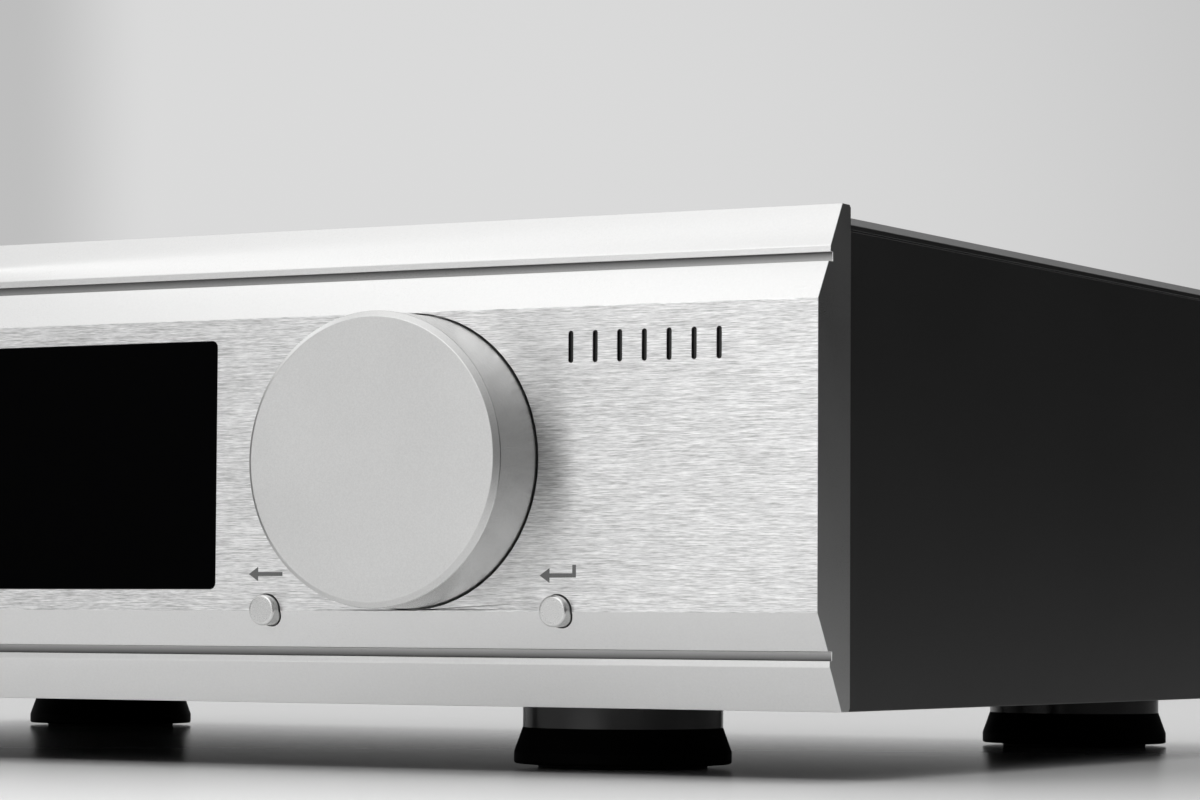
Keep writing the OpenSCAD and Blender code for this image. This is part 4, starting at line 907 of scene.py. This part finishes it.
# %% Table
TABLE_GREY, TABLE_ROUGH, TABLE_REACH, UNSEEN_SHADE = 0.87, 0.2, 30.0, 0.06
table = bpy.data.meshes.new("table")
table.from_pydata([(x * TABLE_REACH, y * TABLE_REACH, 0)
                   for x, y in ((-1, -1), (1, -1), (1, 1), (-1, 1))], [], [(0, 1, 2, 3)])
table_top = new_piece("table_top", table)
table_finish = bpy.data.materials.new("table")
table_finish.use_nodes = True
table.materials.append(table_finish)
tree = table_finish.node_tree
tree.nodes.clear()
specks = put_group(tree, grain, {"Length": 0.8, "Height": 0.8, "Depth": 0.8})
axes = object_axes(tree)
far_right = product(tree, stretch(tree, axes["X"], 0.23, 0.5),
                    stretch(tree, axes["Y"], -1.5, -1.0))
unseen = math_node(tree, "SUBTRACT", 1.0, add(tree, "ShaderNodeLightPath").outputs[
    "Is Camera Ray"])
pale = scaled(tree, grey(TABLE_GREY), mix_value(tree, 0.98, 1.02, specks["Lines"]))
# Painted shade: the table's right part is darkened for reflections and bounce light only.
pale = scaled(tree, pale, mix_value(tree, 1.0, UNSEEN_SHADE, product(tree, far_right, unseen)))
matt = add(tree, "ShaderNodeBsdfDiffuse", {"Color": pale}).outputs[0]
sheen = add(tree, "ShaderNodeBsdfGlossy", {"Color": (1, 1, 1, 1), "Roughness": mix_value(
    tree, TABLE_ROUGH - 0.02, TABLE_ROUGH + 0.02, specks["Fine"])}).outputs[0]
glance = add(tree, "ShaderNodeFresnel", {"IOR": 1.45}).outputs[0]
facing = add(tree, "ShaderNodeLayerWeight", {"Blend": 0.5}).outputs["Facing"]
share = product(tree, glance, stretch(tree, facing, 0.955, 0.972, 0.35, 1.0))
both = add(tree, "ShaderNodeMixShader", {0: share, 1: matt, 2: sheen}).outputs[0]
tree.links.new(both, add(tree, "ShaderNodeOutputMaterial").inputs["Surface"])
print("table", 2 * TABLE_REACH, "m across")

# %% [markdown]
# The world is one function of direction. Three kinds of ray read it: what the camera sees,
# straight or through glass, is a pale wall with a soft glow, what a shiny face mirrors is the
# room with its bright front, window and dark rear corner, and what lights a matt face is the
# same room with less light from low in front, because the low lamp gives that. A mask from
# Light Path tells the rays apart.
#
# The front is dim at the far left, bright in the middle and changes over to a right part that
# is bright only high up. That part fades for light that has already met another surface.

# %% World: the front of the room
FRONT_FLOOR, FRONT_LOW, FRONT_HIGH, LEFT_SHARE = 0.5, 0.89, 0.75, 0.4
RIGHT_LOW, RIGHT_HIGH, SECOND_SHARE = 0.1, 1.5, 0.28
WINDOW_WAY, WINDOW_LEVEL = Vector((-0.12, -0.87, 0.47)).normalized(), 0.85
world = bpy.data.worlds.new("room")
bpy.context.scene.world = world
world.use_nodes = True
tree = world.node_tree
tree.nodes.clear()
way = add(tree, "ShaderNodeTexCoord").outputs["Generated"]
parts = add(tree, "ShaderNodeSeparateXYZ", {0: way}).outputs
rays = add(tree, "ShaderNodeLightPath").outputs


def fade(axis, low, high, at_low, at_high):
    """A level that changes smoothly along one axis of the direction."""
    return stretch(tree, parts[axis], low, high, at_low, at_high, SMOOTH)


def toward(direction):
    """1 where the ray's direction is this one, and less the more it turns away."""
    return add(tree, "ShaderNodeVectorMath", {0: way, 1: tuple(direction)},
               operation="DOT_PRODUCT").outputs["Value"]


front_low = fade("Z", -0.02, 0.12, FRONT_FLOOR, FRONT_LOW)
front_left = product(tree, fade("Z", 0.2, 0.6, front_low, FRONT_HIGH),
                     fade("X", -0.71, -0.46, LEFT_SHARE, 1.0))
twice = math_node(tree, "GREATER_THAN", rays["Ray Depth"], 1.5)
front_right = product(tree, fade("Z", 0.15, 0.65, RIGHT_LOW, RIGHT_HIGH),
                      mix_value(tree, 1.0, SECOND_SHARE, twice))
window = stretch(tree, toward(WINDOW_WAY), 0.9, 0.965, 0.0, WINDOW_LEVEL, SMOOTH)
front = math_node(tree, "ADD", fade("X", -0.15, 0.3, front_left, front_right), window)
print("front of the room made")

# %% [markdown]
# The back is an even grey, and only its right corner is dark. A shiny face also mirrors a bright
# strip high at the back, which draws the thin line of light along the cover's right chamfer.
# Matt faces are lit by the same room without the strip, and with little from low in front.

# %% World: the back of the room
BACK_LOW, BACK_GLOW, BACK_HIGH, BACK_STRIP = 0.55, 0.58, 0.6, 0.55
DARK_LEVEL, LOW_SHARE = 0.008, 0.12
behind = fade("Z", 0.06, 0.16, BACK_LOW, fade("Z", 0.2, 0.5, BACK_GLOW, BACK_HIGH))
corner = product(tree, fade("X", -0.25, 0.12, 0.0, 1.0), fade("Y", 0.0, 0.5, 0.0, 1.0),
                 fade("Z", 0.3, 0.6, 1.0, 0.4))
room = mix_value(tree, fade("Y", 0.0, 0.6, front, behind), DARK_LEVEL, corner)
strip = product(tree, fade("Z", 0.345, 0.41, 0.0, BACK_STRIP),
                fade("X", 0.05, 0.25, fade("Y", 0.55, 0.75, 0.0, 1.0), 0.0))
shiny_room = math_node(tree, "ADD", room, strip)
soft_room = product(tree, room, fade("Y", -0.1, 0.3, fade("Z", 0.12, 0.42, LOW_SHARE, 1.0), 1.0))
print("back of the room made")

# %% [markdown]
# The wall behind the unit glows softly a little left of the middle and is darker at the far
# left. Glass would show the same wall, so a ray that has passed through something counts as
# one of the camera's own.

# %% World: the wall, and which ray sees what
WALL, GLOW_WAY = 0.64, Vector((-0.55, 0.832, 0.06)).normalized()
wall = product(tree, stretch(tree, toward(GLOW_WAY), 0.955, 1.0, WALL * 0.8, WALL * 1.1, SMOOTH),
               stretch(tree, toward(RIGHT), -0.142, -0.108, 0.74, 1.0, SMOOTH))
lit = mixed(tree, rays["Is Glossy Ray"], soft_room, shiny_room)
straight = math_node(tree, "MAXIMUM", rays["Is Camera Ray"], rays["Is Transmission Ray"])
shade = add(tree, "ShaderNodeBackground", {"Color": (1, 1, 1, 1),
                                           "Strength": mixed(tree, straight, lit, wall)})
tree.links.new(shade.outputs[0], add(tree, "ShaderNodeOutputWorld").inputs["Surface"])
print("world ready")

# %% [markdown]
# Three large softboxes give the soft light from above and the left. A fourth, low in front, is
# there for matt surfaces only: it draws the clean edge of the shadow on the table.

# %% Softboxes
def softbox(name, place, aim, width, height, radiance):
    """A rectangular lamp of a given brightness; the camera doesn't see the lamp itself."""
    lamp = bpy.data.lights.new(name, "AREA")
    lamp.shape = "RECTANGLE"
    lamp.size, lamp.size_y = width, height
    lamp.energy = radiance * math.pi * width * height
    holder = bpy.data.objects.new(name, lamp)
    holder.location = place
    holder.rotation_euler = (Vector(aim) - Vector(place)).to_track_quat("-Z", "Y").to_euler()
    holder.visible_camera = False
    bpy.context.scene.collection.objects.link(holder)
    return holder


softbox("key_light", (-0.85, -1.05, 1.1), (0.0, -0.16, 0.06), 2.0, 1.1, 0.22)
softbox("top_light", (-0.1, -0.5, 1.0), (-0.05, -0.4, 0.0), 1.9, 1.2, 0.5)
softbox("left_light", (-1.9, 0.2, 1.1), (0.0, -0.1, 0.05), 1.6, 1.2, 1.1)
fill = softbox("fill_light", (0.05, -1.3, 0.68), (0.0, -0.17, 0.0), 1.3, 0.22, 9.5)
fill.visible_glossy = False
print("lamps ready")
